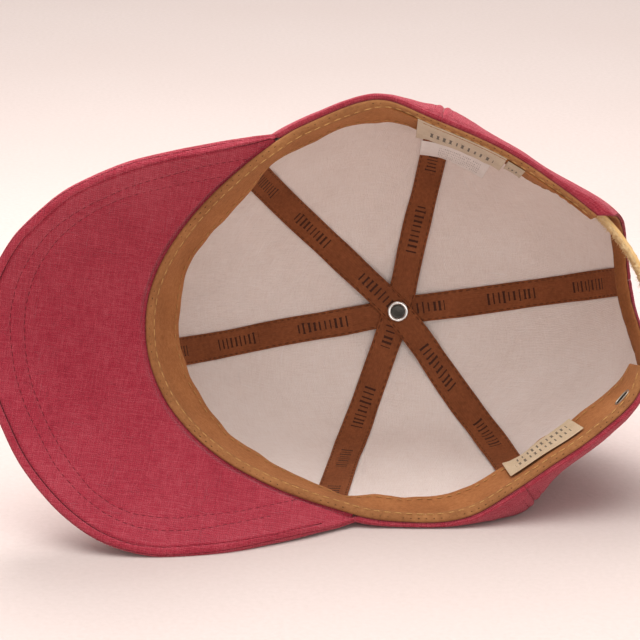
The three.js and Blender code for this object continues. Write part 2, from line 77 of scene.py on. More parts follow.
R1 = [257,255.5,254.5,254,253,250,245,237,229,221,213,208.5,206,204,203.5,203,204,208,212,214,213.5,213.5,215,218.5,220,219.5,218.5,217.5,217,217,218,219,219,220,221.5,223,226,229,232.5,237,241,246,250.5,254,256.5,258,258.5,258.5,258,256.5,254,251,247,243.5,239.5,235.5,231.5,227.5,224,221,219,217.5,216.5,217,218,219,219.5,220,220.5,221.5,223,226,230,235,240,243,241,236,232,232,234.5,239,245,251,257.5,262,263,262.5,261,259]
RIN = [236,234,232,228,224,220,215,209,203,197,191,186.5,184,182.5,181,180,179.5,179.5,180,180.5,181.5,183,186,188.5,190,190,190,190,188.5,188,188.5,190.5,192,192,191,190,190.5,193.5,197,200.5,204,208,211.5,214,216,218,219.5,220,219,217,215,213,210.5,208.5,206,202,198.5,196,194,192,190,189,188.5,189,189.5,186,183,184,186,187,188,188.5,189.5,188,186,184.5,186,190,191,191.5,194,198,205,208,218,228,236,240,240,238]
A_ = lambda x: np.asarray(x, float)
def lerp(a, b, t): return a + (b - a) * t
def smooth(a, b, x): t = np.clip((A_(x) - a) / (b - a), 0, 1); return t * t * (3 - 2 * t)
def soften(t): t = np.array(t, float); return (np.roll(t, 1) + 2 * t + np.roll(t, -1)) / 4
TRB, TR1, TRIN = soften(RB), soften(R1), soften(RIN)
def at(tab, th):
    q = (A_(th) % 360) / 4; i = np.floor(q).astype(int); f = q - i
    a, b, c, d = (tab[(i + k) % 90] for k in (-1, 0, 1, 2))
    return b + 0.5 * f * (c - a + f * (2 * a - 5 * b + 4 * c - d + f * (3 * (b - c) + d - a)))
def turn(th): return (A_(th) % 360 + 540) % 360 - 180
def gauss(th, m, s): return np.exp(-(turn(A_(th) - m) / s) ** 2)
def rimY(th): return 9 * gauss(th, 191.8, 36)
def bandY(th): return 28 - 7 * gauss(th, 272, 32)
def liftY(th): q = A_(th) % 360; return 4.4 * smooth(122.5, 127, q) * (1 - smooth(255.5, 260, q))
def ray(u, v, y):
    u, v, y = np.broadcast_arrays(A_(u), A_(v), A_(y)); k = U * (1 + y / FAR)
    return np.stack([u * k, y, v * k], -1)
def polar(th, r, y): t = np.radians(th); return ray(HUB[0] + r * np.cos(t), HUB[1] + r * np.sin(t), y)
def unit(v): return v / np.maximum(np.linalg.norm(v, axis=-1, keepdims=True), 1e-9)
SOFT = [0.8]                         # mm over which the side lying on the floor is flattened
def rest(p):
    p = p.copy(); zf = REST + p[..., 1] * math.tan(TILT); k = 0.8 + (SOFT[0] - 0.8) * smooth(27, 62, p[..., 1]); d = (p[..., 2] - zf) / k
    p[..., 2] = np.where(d > 30, p[..., 2], zf + k * np.log1p(np.exp(np.minimum(d, 30)))); return p
def wallRY(th, f):
    th, f = np.broadcast_arrays(A_(th), A_(f))
    c = np.maximum(0, np.cos(f)) ** (2 / DOME); s = np.maximum(0, np.sin(f)) ** (2 / DOME)
    y0 = rimY(th); y = y0 + (DEPTH - y0) * s; h = y - y0
    a = at(TRB, th) + 5.5 + 7 * gauss(th, 27, 8); b = at(TR1, th)
    return np.maximum(0, b * c - (b - a) * np.exp(-h / 9) * c), y
def outer(th, f): r, y = wallRY(th, f); return rest(polar(th, r, y))
def wall(th, f, off):
    th, f, off = np.broadcast_arrays(A_(th), A_(f), A_(off))
    r = np.maximum(12, wallRY(th, f)[0]); dt = 40 / r; df = 0.004
    a = outer(th, np.minimum(f + df, PI / 2 - 1e-4)) - outer(th, np.maximum(f - df, 1e-4))
    b = outer(th + dt, f) - outer(th - dt, f)
    n = unit(np.cross(b, a)); p = outer(th, f); o = ray(HUB[0], HUB[1], 45.0)
    n = np.where(((p - o) * n).sum(-1, keepdims=True) < 0, -n, n)
    return p - n * off[..., None]
def fOfY(th, y): y0 = rimY(th); return np.arcsin(np.clip((A_(y) - y0) / (DEPTH - y0), 0, 1) ** (DOME / 2))
def fOfR(th, r):
    th, r = np.broadcast_arrays(A_(th), A_(r)); a = fOfY(th, 16.0) + 0 * r; b = np.full(th.shape, PI / 2)
    for _ in range(34):
        m = (a + b) / 2; big = wallRY(th, m)[0] > r; a = np.where(big, m, a); b = np.where(big, b, m)
    return (a + b) / 2
def archY(th, half, high): q = turn(A_(th) - ARCH_MID) / half; return high * np.sqrt(np.maximum(0, 1 - q * q))
CE, SE = math.cos(TILT), math.sin(TILT)
def row(p):
    x, y, z = p[..., 0], p[..., 1], p[..., 2]
    return np.stack([x + SHIFT[0], y * CE + z * SE + SHIFT[1], -y * SE + z * CE + SHIFT[2]], -1) / 1000
def vnoise(x, y, seed=0):
    x, y = np.broadcast_arrays(A_(x), A_(y)); xi, yi = np.floor(x).astype(np.int64), np.floor(y).astype(np.int64)
    sx, sy = x - xi, y - yi; sx = sx * sx * (3 - 2 * sx); sy = sy * sy * (3 - 2 * sy)
    def h(i, j):
        n = (i * 374761393 + j * 668265263 + seed * 974711 + 12345) & 0xffffffff
        n = ((n ^ (n >> 13)) * 1274126177) & 0xffffffff; n = n ^ (n >> 16); return (n & 0xffff) / 32767.5 - 1
    return lerp(lerp(h(xi, yi), h(xi + 1, yi), sx), lerp(h(xi, yi + 1), h(xi + 1, yi + 1), sx), sy)
def fbm(x, y, seed=0, n=3): return sum(vnoise(x * 2 ** k, y * 2 ** k, seed + k) * 0.5 ** k for k in range(n))

# ---------------------------------------------------------------- shader helpers
def lin(h, k=1.0):
    h = h.lstrip("#"); c = [int(h[i:i + 2], 16) / 255 for i in (0, 2, 4)]
    return tuple((x / 12.92 if x <= 0.04045 else ((x + 0.055) / 1.055) ** 2.4) * k for x in c) + (1.0,)
class Sh:
    def __init__(s, name, rough=0.9, metal=0.0, spec=0.3):
        s.m = bpy.data.materials.new(name); s.m.use_nodes = True; s.nt = s.m.node_tree; s.nt.nodes.clear()
        s.out = s.nt.nodes.new("ShaderNodeOutputMaterial"); s.b = s.nt.nodes.new("ShaderNodeBsdfPrincipled")
        s.nt.links.new(s.b.outputs[0], s.out.inputs[0])
        s.b.inputs["Roughness"].default_value = rough; s.b.inputs["Metallic"].default_value = metal
        s.b.inputs["Specular IOR Level"].default_value = spec
    def put(s, sock, v):
        if hasattr(v, "is_output") or isinstance(v, bpy.types.NodeSocket): s.nt.links.new(v, sock)
        else: sock.default_value = v
    def uv(s):
        n = s.nt.nodes.new("ShaderNodeUVMap"); n.uv_map = "mm"; return n.outputs[0]
    def obj(s): return s.nt.nodes.new("ShaderNodeTexCoord").outputs["Object"]
    def scale(s, v, sc, loc=(0, 0, 0), rot=(0, 0, 0)):
        n = s.nt.nodes.new("ShaderNodeMapping"); s.put(n.inputs[0], v); n.inputs["Scale"].default_value = sc
        n.inputs["Location"].default_value = loc; n.inputs["Rotation"].default_value = rot; return n.outputs[0]
    def noise(s, v, sc=1.0, detail=2.0, rough=0.5, dist=0.0):
        n = s.nt.nodes.new("ShaderNodeTexNoise"); s.put(n.inputs["Vector"], v); n.inputs["Scale"].default_value = sc
        n.inputs["Detail"].default_value = detail; n.inputs["Roughness"].default_value = rough; n.inputs["Distortion"].default_value = dist
        return n.outputs["Fac"]
    def white(s, v):
        n = s.nt.nodes.new("ShaderNodeTexWhiteNoise"); n.noise_dimensions = "3D"; s.put(n.inputs["Vector"], v); return n.outputs["Value"]
    def f(s, op, a, b=0.0, c=0.0, clamp=False):
        n = s.nt.nodes.new("ShaderNodeMath"); n.operation = op; n.use_clamp = clamp
        for k, v in enumerate((a, b, c)): s.put(n.inputs[k], v)
        return n.outputs[0]
    def xyz(s, v):
        n = s.nt.nodes.new("ShaderNodeSeparateXYZ"); s.put(n.inputs[0], v); return n.outputs
    def vec(s, x, y, z=0.0):
        n = s.nt.nodes.new("ShaderNodeCombineXYZ")
        for k, v in enumerate((x, y, z)): s.put(n.inputs[k], v)
        return n.outputs[0]
    def mix(s, fac, a, b, kind="MIX"):
        n = s.nt.nodes.new("ShaderNodeMix"); n.data_type = "RGBA"; n.blend_type = kind; n.clamp_factor = True
        s.put(n.inputs[0], fac); s.put(n.inputs[6], a); s.put(n.inputs[7], b); return n.outputs[2]
    def map(s, v, a, b, c=0.0, d=1.0, kind="LINEAR"):
        n = s.nt.nodes.new("ShaderNodeMapRange"); n.interpolation_type = kind; n.clamp = True
        for k, q in enumerate((v, a, b, c, d)): s.put(n.inputs[k], q)
        return n.outputs[0]
    def bump(s, h, dist, strength=1.0, normal=None):
        n = s.nt.nodes.new("ShaderNodeBump"); s.put(n.inputs["Height"], h); n.inputs["Distance"].default_value = dist
        n.inputs["Strength"].default_value = strength
        if normal is not None: s.put(n.inputs["Normal"], normal)
        return n.outputs[0]
    def finish(s, col, normal=None, rough=None, sheen=0.0, tint=None):
        s.put(s.b.inputs["Base Color"], col)
        if normal is not None: s.put(s.b.inputs["Normal"], normal)
        if rough is not None: s.put(s.b.inputs["Roughness"], rough)
        if sheen:
            s.b.inputs["Sheen Weight"].default_value = sheen; s.b.inputs["Sheen Roughness"].default_value = 0.5
            if tint: s.b.inputs["Sheen Tint"].default_value = tint
        return s.m

def cloth(name, base, light, dark, pitch=0.75, slub=0.5, depth=0.00016, contrast=0.5, sheen=0.25, tint=None, fuzz=0.35, blotch=0.35, seed=0.0, rot=0.0):
    """Plain weave with uneven linen threads, laid out on the piece's millimetre coordinates."""
    s = Sh(name, 0.92, 0, 0.15)
    uv = s.scale(s.uv(), (1, 1, 1), (seed * 3.1, seed * 1.7, 0), (0, 0, rot))
    wob = s.noise(uv, 0.09, 2); x, y = s.xyz(uv)[0:2]
    w = s.f("MULTIPLY", s.f("SUBTRACT", wob, 0.5), 1.6)
    x = s.f("ADD", x, w); y = s.f("ADD", y, w)
    jit = s.noise(uv, 0.55, 2, 0.6); jx, jy = jit, s.noise(s.scale(uv, (1, 1, 1), (31, 7, 0)), 0.55, 2, 0.6)
    px = s.f("ADD", s.f("DIVIDE", x, pitch), s.f("MULTIPLY", s.f("SUBTRACT", jx, 0.5), 1.5)); py = s.f("ADD", s.f("DIVIDE", y, pitch), s.f("MULTIPLY", s.f("SUBTRACT", jy, 0.5), 1.5))
    sx, sy = s.f("SINE", s.f("MULTIPLY", px, PI)), s.f("SINE", s.f("MULTIPLY", py, PI))
    chk = s.f("MULTIPLY_ADD", s.f("MULTIPLY", sx, sy), 0.5, 0.5)
    ax, ay = s.f("POWER", s.f("ABSOLUTE", sx), 0.7), s.f("POWER", s.f("ABSOLUTE", sy), 0.7)
    weave = s.f("ADD", s.f("MULTIPLY", ax, chk), s.f("MULTIPLY", ay, s.f("SUBTRACT", 1.0, chk)))
    # thread-by-thread variation along each direction
    tv = s.noise(s.vec(s.f("MULTIPLY", px, 1.0), s.f("MULTIPLY", y, 0.15), 3.0), 1.0, 3, 0.65)
    tu = s.noise(s.vec(s.f("MULTIPLY", x, 0.15), s.f("MULTIPLY", py, 1.0), 9.0), 1.0, 3, 0.65)
    slv = s.map(s.noise(s.vec(s.f("MULTIPLY", px, 0.8), s.f("MULTIPLY", y, 0.07), 21.0), 1.0, 1), 0.66, 0.80)
    slu = s.map(s.noise(s.vec(s.f("MULTIPLY", x, 0.06), s.f("MULTIPLY", py, 0.8), 33.0), 1.0, 1), 0.66, 0.80)
    thread = s.f("MULTIPLY_ADD", s.f("ADD", tv, tu), 1.0, -1.0)           # about -0.5 .. 0.5
    fine = s.noise(uv, 2.6, 3, 0.7)
    big = s.noise(uv, 0.035, 3, 0.55)
    lvl = s.f("ADD", s.f("MULTIPLY", s.f("SUBTRACT", weave, 0.55), contrast * 0.95), s.f("MULTIPLY", thread, 1.75 * contrast))
    lvl = s.f("ADD", lvl, s.f("MULTIPLY", s.f("SUBTRACT", fine, 0.5), fuzz))
    lvl = s.f("ADD", lvl, s.f("MULTIPLY", s.f("SUBTRACT", big, 0.5), blotch))
    c = s.mix(s.map(lvl, -0.5, 0.0), dark, base)
    c = s.mix(s.map(lvl, 0.0, 0.6), c, light)
    sl = s.f("MAXIMUM", slv, slu)
    c = s.mix(s.f("MULTIPLY", sl, slub), c, light)
    h = s.f("ADD", weave, s.f("ADD", s.f("MULTIPLY", sl, 0.8), s.f("MULTIPLY", fine, 0.6)))
    h = s.f("ADD", h, s.f("MULTIPLY", thread, 0.8))
    return s.finish(c, s.bump(h, depth), None, sheen, tint)

def suede(name, base, light, dark, depth=0.00012, sheen=0.3, scale=1.0, rough=0.9):
    s = Sh(name, rough, 0, 0.2); uv = s.uv()
    fine = s.noise(uv, 4.5 * scale, 4, 0.7); mid = s.noise(uv, 0.6, 3, 0.6); big = s.noise(uv, 0.06, 2)
    nap = s.noise(s.scale(uv, (0.35, 1.6, 1)), 1.2, 3, 0.6)
    lvl = s.f("ADD", s.f("MULTIPLY", s.f("SUBTRACT", fine, 0.5), 1.0), s.f("MULTIPLY", s.f("SUBTRACT", mid, 0.5), 0.9))
    lvl = s.f("ADD", lvl, s.f("MULTIPLY", s.f("SUBTRACT", big, 0.5), 0.9))
    lvl = s.f("ADD", lvl, s.f("MULTIPLY", s.f("SUBTRACT", nap, 0.5), 0.5))
    c = s.mix(s.map(lvl, -0.45, 0.0), dark, base); c = s.mix(s.map(lvl, 0.0, 0.5), c, light)
    h = s.f("ADD", s.f("MULTIPLY", fine, 1.0), s.f("MULTIPLY", mid, 0.7))
    return s, c, s.bump(h, depth)

def bars(s, x, y, pitch, high, seed, fill=0.30):
    """Upright generic marks in a row, one per cell; x along, y across. Returns a 0..1 mask."""
    q = s.f("DIVIDE", x, pitch); cell = s.f("FLOOR", q); fr = s.f("SUBTRACT", q, cell)
    r1 = s.white(s.vec(cell, seed, 1.0)); r2 = s.white(s.vec(cell, seed, 2.0)); r3 = s.white(s.vec(cell, seed, 3.0))
    off = s.f("ABSOLUTE", s.f("SUBTRACT", fr, s.f("MULTIPLY_ADD", r3, 0.16, 0.42)))
    wide = s.map(r2, 0.0, 1.0, fill * 0.32, fill * 0.62)
    v = s.f("LESS_THAN", off, wide)
    top = s.map(r1, 0.0, 1.0, high * 0.72, high); v = s.f("MULTIPLY", v, s.f("LESS_THAN", s.f("ABSOLUTE", y), top))
    foot = s.f("MULTIPLY", s.f("LESS_THAN", s.f("ABSOLUTE", s.f("SUBTRACT", s.f("ABSOLUTE", y), s.f("MULTIPLY", top, 0.9))), high * 0.11),
               s.f("MULTIPLY", s.f("LESS_THAN", off, 0.26), s.f("GREATER_THAN", r2, 0.45)))
    return s.f("MAXIMUM", v, foot, clamp=True)

RED, RED_L, RED_D = lin("#a12b3b"), lin("#c65f69"), lin("#6d1a27")
M = {}
M["linen"] = cloth("linen", RED, RED_L, RED_D, 0.82, 0.18, 0.00038, 0.42, 0.50, lin("#f0a0a8"), 1.0, 0.30)
M["linen_in"] = cloth("linen_visor", lin("#a42a3c"), RED_L, RED_D, 0.78, 0.12, 0.00030, 0.36, 0.45, lin("#f6a8b2"), 1.10, 0.40, 4.0, 0.16)
M["lining"] = cloth("lining", lin("#efe1d9"), lin("#fbf3ef"), lin("#d6c3ba"), 0.62, 0.42, 0.00014, 0.32, 0.15, lin("#ffffff"), 0.50, 0.40, 7.0, 0.05)

s, c, n = suede("sweatband", lin("#a5683c"), lin("#bd8150"), lin("#85502b"), 0.00012)
M["suede"] = s.finish(c, n, None, 0.25, lin("#e0b080"))
s, c, n = suede("binding", lin("#97643c"), lin("#ae7a4b"), lin("#7a4d2c"), 0.00012, scale=0.8, rough=0.85)
M["binding"] = s.finish(c, n, None, 0.2, lin("#e8c090"))
s, c, n = suede("tape", lin("#82492a"), lin("#985a36"), lin("#69381e"), 0.00008, rough=0.78)
uvs = s.xyz(s.uv())
rib = s.f("SINE", s.f("MULTIPLY", uvs[1], PI / 0.45))
grp = s.f("LESS_THAN", s.f("FRACT", s.f("DIVIDE", uvs[0], 41.0)), 0.55)
ink = s.f("MULTIPLY", bars(s, uvs[0], uvs[1], 2.35, 2.6, 5.0, 0.36), grp)
c = s.mix(s.f("MULTIPLY", ink, 0.88), c, lin("#2a130a"))
M["tape"] = s.finish(c, s.bump(s.f("MULTIPLY", rib, 0.5), 0.00004, 1.0, n), s.f("MULTIPLY_ADD", ink, -0.12, 0.78), 0.12, lin("#c08050"))
s, c, n = suede("arch_tape", lin("#8f5730"), lin("#a66a40"), lin("#734224"), 0.00008, rough=0.8)
M["arch"] = s.finish(c, n, None, 0.12, lin("#c08050"))

# leather: golden, smooth on the faces, rough and pale on the cut edge
s = Sh("strap_leather", 0.55, 0, 0.4); uv = s.uv(); ou, ov = s.xyz(uv)[0:2]
grain = s.nt.nodes.new("ShaderNodeTexVoronoi"); s.put(grain.inputs["Vector"], uv); grain.inputs["Scale"].default_value = 1.7
fine = s.noise(uv, 3.5, 4, 0.7); big = s.noise(uv, 0.12, 3)
c = s.mix(s.map(big, 0.3, 0.7), lin("#d8aa66"), lin("#e9c58c")); c = s.mix(s.map(fine, 0.55, 0.8, 0, 0.5), c, lin("#e8c98c"))
h = s.f("ADD", s.f("MULTIPLY", grain.outputs["Distance"], 0.6), fine)
M["leather"] = s.finish(c, s.bump(h, 0.00012), s.map(fine, 0.3, 0.7, 0.45, 0.7), 0.1, lin("#ffe0a0"))
s = Sh("strap_fibres", 0.9, 0, 0.2); o = s.obj(); nz = s.noise(o, 900, 2)
M["fibre"] = s.finish(s.mix(nz, lin("#cf9f5c"), lin("#f3e0b4")), None, None, 0.2)

# woven labels
def label(name, base, light, dark, ink_rows, ink, pitch=0.32, gloss=0.8, size=(34.0, 5.0)):
    s = Sh(name, gloss, 0, 0.3); uv = s.uv(); x, y = s.xyz(uv)[0:2]
    wx, wy = s.f("SINE", s.f("MULTIPLY", x, PI / pitch)), s.f("SINE", s.f("MULTIPLY", y, PI / (pitch * 0.8)))
    fine = s.noise(uv, 3.0, 3, 0.6); big = s.noise(uv, 0.15, 2)
    lvl = s.f("ADD", s.f("MULTIPLY", s.f("MULTIPLY", wx, wy), 0.18), s.f("ADD", s.f("SUBTRACT", fine, 0.5), s.f("MULTIPLY", s.f("SUBTRACT", big, 0.5), 0.7)))
    c = s.mix(s.map(lvl, -0.4, 0.0), dark, base); c = s.mix(s.map(lvl, 0.0, 0.5), c, light)
    mask = None
    for (y0, high, pit, sd, x0, x1, k) in ink_rows:
        b = bars(s, x, s.f("SUBTRACT", y, y0), pit, high, sd, 0.34)
        b = s.f("MULTIPLY", b, s.f("MULTIPLY", s.f("GREATER_THAN", x, x0), s.f("LESS_THAN", x, x1)))
        if k < 1: b = s.f("MULTIPLY", b, s.f("GREATER_THAN", s.noise(s.vec(s.f("MULTIPLY", x, 0.9), sd, 0.0), 1.0, 0), 1 - k))
        mask = b if mask is None else s.f("MAXIMUM", mask, b)
    if mask is not None: c = s.mix(s.f("MULTIPLY", mask, 0.8), c, ink)
    h = s.f("ADD", s.f("MULTIPLY", wx, 0.4), s.f("ADD", s.f("MULTIPLY", wy, 0.4), fine))
    return s.finish(c, s.bump(h, 0.00006), None, 0.1)
INK = lin("#241c1a")
M["label"] = label("woven_label", lin("#cdbda4"), lin("#ddd0ba"), lin("#b3a288"), [(14.0, 3.4, 2.7, 3.0, 4.0, 32.0, 1)], INK)
M["label2"] = label("woven_label_origin", lin("#cdb696"), lin("#dfcdb0"), lin("#b49c7a"), [(6.0, 1.7, 2.4, 6.0, 4.0, 30.0, 1), (11.6, 1.7, 2.4, 8.0, 4.0, 30.0, 1)], INK)
M["label3"] = label("size_tab", lin("#c7b69c"), lin("#ddd0ba"), lin("#a79578"), [(13.0, 2.6, 1.7, 4.0, 1.6, 6.0, 1)], INK)
M["satin"] = label("care_satin", lin("#efe9e4"), lin("#faf7f4"), lin("#ddd5cf"), [(4.5 + 3.0 * k, 0.85, 0.75, 20.0 + k, 3.0, 21.0, 0.62) for k in range(5)], lin("#8d8682"), 0.22, 0.45)

def thread(name, a, b, rough=0.75, sheen=0.2):
    s = Sh(name, rough, 0, 0.3); o = s.obj(); nz = s.noise(o, 2200, 2); big = s.noise(o, 60, 2)
    c = s.mix(s.map(nz, 0.35, 0.65), a, b); c = s.mix(s.map(big, 0.4, 0.7, 0, 0.4), c, a)
    return s.finish(c, s.bump(nz, 0.00008), None, sheen)
M["th_red"] = thread("thread_red", lin("#641a26"), lin("#7e2632"), 0.8, 0.0)
# seam_groove_shade: a dark cord whose colour is painted shade of the visor's edge-seam groove, not a thread
M["seam_groove_shade"] = thread("seam_shadow_cord", lin("#4c101b"), lin("#641a26"), 0.9, 0.0)
M["th_top"] = thread("thread_red_top", lin("#862433"), lin("#a43e4c"), 0.8, 0.0)
M["th_tan"] = thread("thread_tan", lin("#a87845"), lin("#c8985e"), 0.8, 0.0)
M["th_brown"] = thread("thread_brown", lin("#55290f"), lin("#77421f"), 0.8, 0.0)
M["th_mid"] = thread("thread_mid", lin("#8a5224"), lin("#b47a42"), 0.8, 0.0)
# needle holes: their dark colour is painted shade inside the holes
M["hole"] = thread("needle_hole_painted_shade", lin("#4a2a14"), lin("#63401f"), 0.95, 0.0)

def metal(name, base, rough, brush=900, depth=0.00002, dirt=None):
    s = Sh(name, rough, 1.0, 0.5); o = s.obj()
    br = s.noise(s.scale(o, (60, 60, brush)), 1.0, 3, 0.6); sp = s.noise(o, 260, 3)
    c = s.mix(s.map(sp, 0.45, 0.75, 0, 0.5 if dirt else 0.16), base, dirt or lin("#8c8984"))
    return s.finish(c, s.bump(br, depth), s.map(s.f("ADD", br, s.f("MULTIPLY", sp, 0.5)), 0.4, 1.1, rough * 0.8, rough * 1.35))
M["steel"] = metal("brushed_steel", lin("#cfcdc9"), 0.30)
M["steel_pol"] = metal("polished_ring", lin("#e2e0dd"), 0.16, 300, 0.00001)
M["eyelet"] = metal("eyelet_metal", lin("#b9b2a6"), 0.34, 300, 0.00002, lin("#6e675c"))
s = Sh("rivet_dish", 0.22, 0.6, 0.5); o = s.obj(); nz = s.noise(o, 500, 3)
M["dish"] = s.finish(s.mix(nz, lin("#26231f"), lin("#4a453f")), s.bump(nz, 0.00003))
# eyelet slot: near-black colour that is painted shade inside the eyelet's opening
s = Sh("eyelet_slot_painted_shade", 0.8, 0, 0.2); o = s.obj(); nz = s.noise(o, 700, 3)
M["slot"] = s.finish(s.mix(nz, lin("#17110d"), lin("#2e231a")), s.bump(nz, 0.00003))
s = Sh("board", 0.7, 0, 0.2); o = s.obj(); nz = s.noise(o, 300, 4)
M["board"] = s.finish(s.mix(nz, lin("#cfcabd"), lin("#e2ded2")), s.bump(nz, 0.00005))

# ---------------------------------------------------------------- mesh helpers
def mesh(name, V, F, mat, uv=None, body="cap", slot=None, mats=None, fm=None, smooth_=True):
    V = row(np.asarray(V, float).reshape(-1, 3)); F = np.asarray(F)
    me = bpy.data.meshes.new(name); me.from_pydata(V.tolist(), [], F.tolist() if F.dtype != object else [list(map(int, f)) for f in F])
    me.update()
    if uv is not None:
        lay = me.uv_layers.new(name="mm"); li = np.empty(len(me.loops), np.int32); me.loops.foreach_get("vertex_index", li)
        lay.data.foreach_set("uv", np.asarray(uv, np.float32).reshape(-1, 2)[li].ravel())
    for m in (mats or [mat]): me.materials.append(M[m])
    if fm is not None: me.polygons.foreach_set("material_index", np.asarray(fm, np.int32))
    if smooth_: me.polygons.foreach_set("use_smooth", np.ones(len(me.polygons), bool))
    o = bpy.data.objects.new(name, me); scene.collection.objects.link(o)
    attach(o, body)
    return o
def volume(V, F):
    V = V.reshape(-1, 3); F = np.asarray(F); a, b, c, d = (V[F[:, k]] for k in range(4))
    return (a * np.cross(b, c)).sum() + (a * np.cross(c, d)).sum()
def grid_faces(n, m):
    i, j = np.meshgrid(np.arange(n - 1), np.arange(m - 1), indexing="ij"); k = (i * m + j).ravel()
    return np.stack([k, k + m, k + m + 1, k + 1], 1)
def slab(name, A, B, uv, mat, pinch=0.36, edges="ijIJ", **kw):
    """Closed thin sheet between two equal grids of points. The named borders are rounded."""
    A, B = A.copy(), B.copy(); n, m = A.shape[:2]; mid = (A + B) / 2
    for key, sl in (("i", np.s_[0, :]), ("I", np.s_[-1, :]), ("j", np.s_[:, 0]), ("J", np.s_[:, -1])):
        if key in edges: A[sl] = lerp(mid[sl], A[sl], pinch); B[sl] = lerp(mid[sl], B[sl], pinch)
    V = np.concatenate([A.reshape(-1, 3), B.reshape(-1, 3)]); N = n * m
    fa = grid_faces(n, m); fb = fa[:, ::-1] + N
    def strip(a): return np.stack([a[:-1], a[1:], a[1:] + N, a[:-1] + N], 1)
    i0, i1, j0, j1 = np.arange(m), (n - 1) * m + np.arange(m), np.arange(n) * m, np.arange(n) * m + m - 1
    F = np.concatenate([fa, fb, strip(i0), strip(i1)[:, ::-1], strip(j0)[:, ::-1], strip(j1)])
    if volume(V, F) < 0: F = F[:, ::-1]
    return mesh(name, V, F, mat, np.concatenate([uv.reshape(-1, 2)] * 2), **kw)
def ends(n, e=0.006): return np.concatenate([[0, e, 2.6 * e], np.linspace(0, 1, n)[1:-1] * (1 - 6.4 * e) + 3.2 * e, [1 - 2.6 * e, 1 - e, 1]])
def arc_uv(P):
    """Millimetre coordinates of a grid: length along each direction."""
    du = np.linalg.norm(np.diff(P, axis=0), axis=-1); dv = np.linalg.norm(np.diff(P, axis=1), axis=-1)
    u = np.concatenate([np.zeros((1, P.shape[1])), np.cumsum(du, 0)]); v = np.concatenate([np.zeros((P.shape[0], 1)), np.cumsum(dv, 1)], 1)
    return np.stack([u, v], -1)
def tube(name, paths, rad, mat, seg=5, **kw):
    V, F, k = [], [], 0
    for P, r in zip(paths, rad):
        P = A_(P); n = len(P); t = unit(np.gradient(P, axis=0)); a = unit(np.cross(t, [0.31, 0.52, 0.79])); b = np.cross(t, a)
        rr = np.broadcast_to(A_(r), (n,))
        for q in range(seg): V.append(P + (a * math.cos(2 * PI * q / seg) + b * math.sin(2 * PI * q / seg)) * rr[:, None])
        idx = k + np.arange(seg * n).reshape(seg, n)
        for q in range(seg):
            x, y = idx[q], idx[(q + 1) % seg]; F += np.stack([x[:-1], x[1:], y[1:], y[:-1]], 1).tolist()
        V.append(P[[0]]); V.append(P[[-1]]); e0, e1 = k + seg * n, k + seg * n + 1
        for q in range(seg): F.append([e0, idx[q][0], idx[(q + 1) % seg][0]]); F.append([e1, idx[(q + 1) % seg][-1], idx[q][-1]])
        k += seg * n + 2
    me_V = row(np.concatenate(V)); me = bpy.data.meshes.new(name); me.from_pydata(me_V.tolist(), [], F); me.update()
    me.materials.append(M[mat]); me.polygons.foreach_set("use_smooth", np.ones(len(me.polygons), bool))
    o = bpy.data.objects.new(name, me); scene.collection.objects.link(o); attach(o, kw.get("body", "cap"))
    return o
def stitches(name, paths, L, gap, W, mat, H=None, up=0.0, slant=0.0, body="cap", seed=1):
    """Separate sewn threads along paths of (points, normals), all in one piece."""
    H = H or W * 0.75; rng = np.random.RandomState(seed); ring = 6; ts = [-0.86, -0.5, 0.0, 0.5, 0.86]
    T = [(-1.0, 0.0, 0.0)]
    for t in ts:
        r = (1 - abs(t) ** 3) ** 0.5
        T += [(t, r * math.cos(2 * PI * k / ring), r * math.sin(2 * PI * k / ring)) for k in range(ring)]
    T.append((1.0, 0.0, 0.0)); T = np.array(T); nv = len(T); F = []
    for k in range(ring): F.append([0, 1 + (k + 1) % ring, 1 + k]); F.append([nv - 1, nv - 1 - ring + k, nv - 1 - ring + (k + 1) % ring])
    for a in range(len(ts) - 1):
        for k in range(ring): p = 1 + a * ring; F.append([p + k, p + (k + 1) % ring, p + ring + (k + 1) % ring, p + ring + k])
    VV, FF, k0 = [], [], 0
    for P, Nn in paths:
        P, Nn = A_(P), unit(A_(Nn)); d = np.concatenate([[0], np.cumsum(np.linalg.norm(np.diff(P, axis=0), axis=1))])
        cnt = int((d[-1] - L) / (L + gap)) + 1
        if cnt < 1: continue
        c = (np.arange(cnt) * (L + gap) + L / 2 + (d[-1] - cnt * (L + gap) + gap) / 2) + rng.uniform(-0.06, 0.06, cnt) * L
        I = lambda arr, s_: np.stack([np.interp(s_, d, arr[:, q]) for q in range(3)], 1)
        p, t = I(P, c), unit(I(P, np.minimum(c + L * 0.45, d[-1])) - I(P, np.maximum(c - L * 0.45, 0))); n = unit(I(Nn, c))
        b = unit(np.cross(n, t)); n = np.cross(t, b)
        sl = slant + rng.uniform(-0.05, 0.05, cnt)[:, None]; t, b = t * np.cos(sl) + b * np.sin(sl), b * np.cos(sl) - t * np.sin(sl)
        ll = L / 2 * rng.uniform(0.92, 1.06, cnt); bow = 0.35 * H
        q = p[:, None] + T[None, :, 0:1] * t[:, None] * ll[:, None, None] + T[None, :, 1:2] * b[:, None] * W / 2 + (T[None, :, 2:3] * H / 2 + up - bow * T[None, :, 0:1] ** 2) * n[:, None]
        VV.append(q.reshape(-1, 3))
        for j in range(cnt): FF += [[v + k0 + j * nv for v in f] for f in F]
        k0 += cnt * nv
    V = row(np.concatenate(VV)); me = bpy.data.meshes.new(name); me.from_pydata(V.tolist(), [], FF); me.update()
    me.materials.append(M[mat]); me.polygons.foreach_set("use_smooth", np.ones(len(me.polygons), bool))
    o = bpy.data.objects.new(name, me); scene.collection.objects.link(o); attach(o, body)
    return o

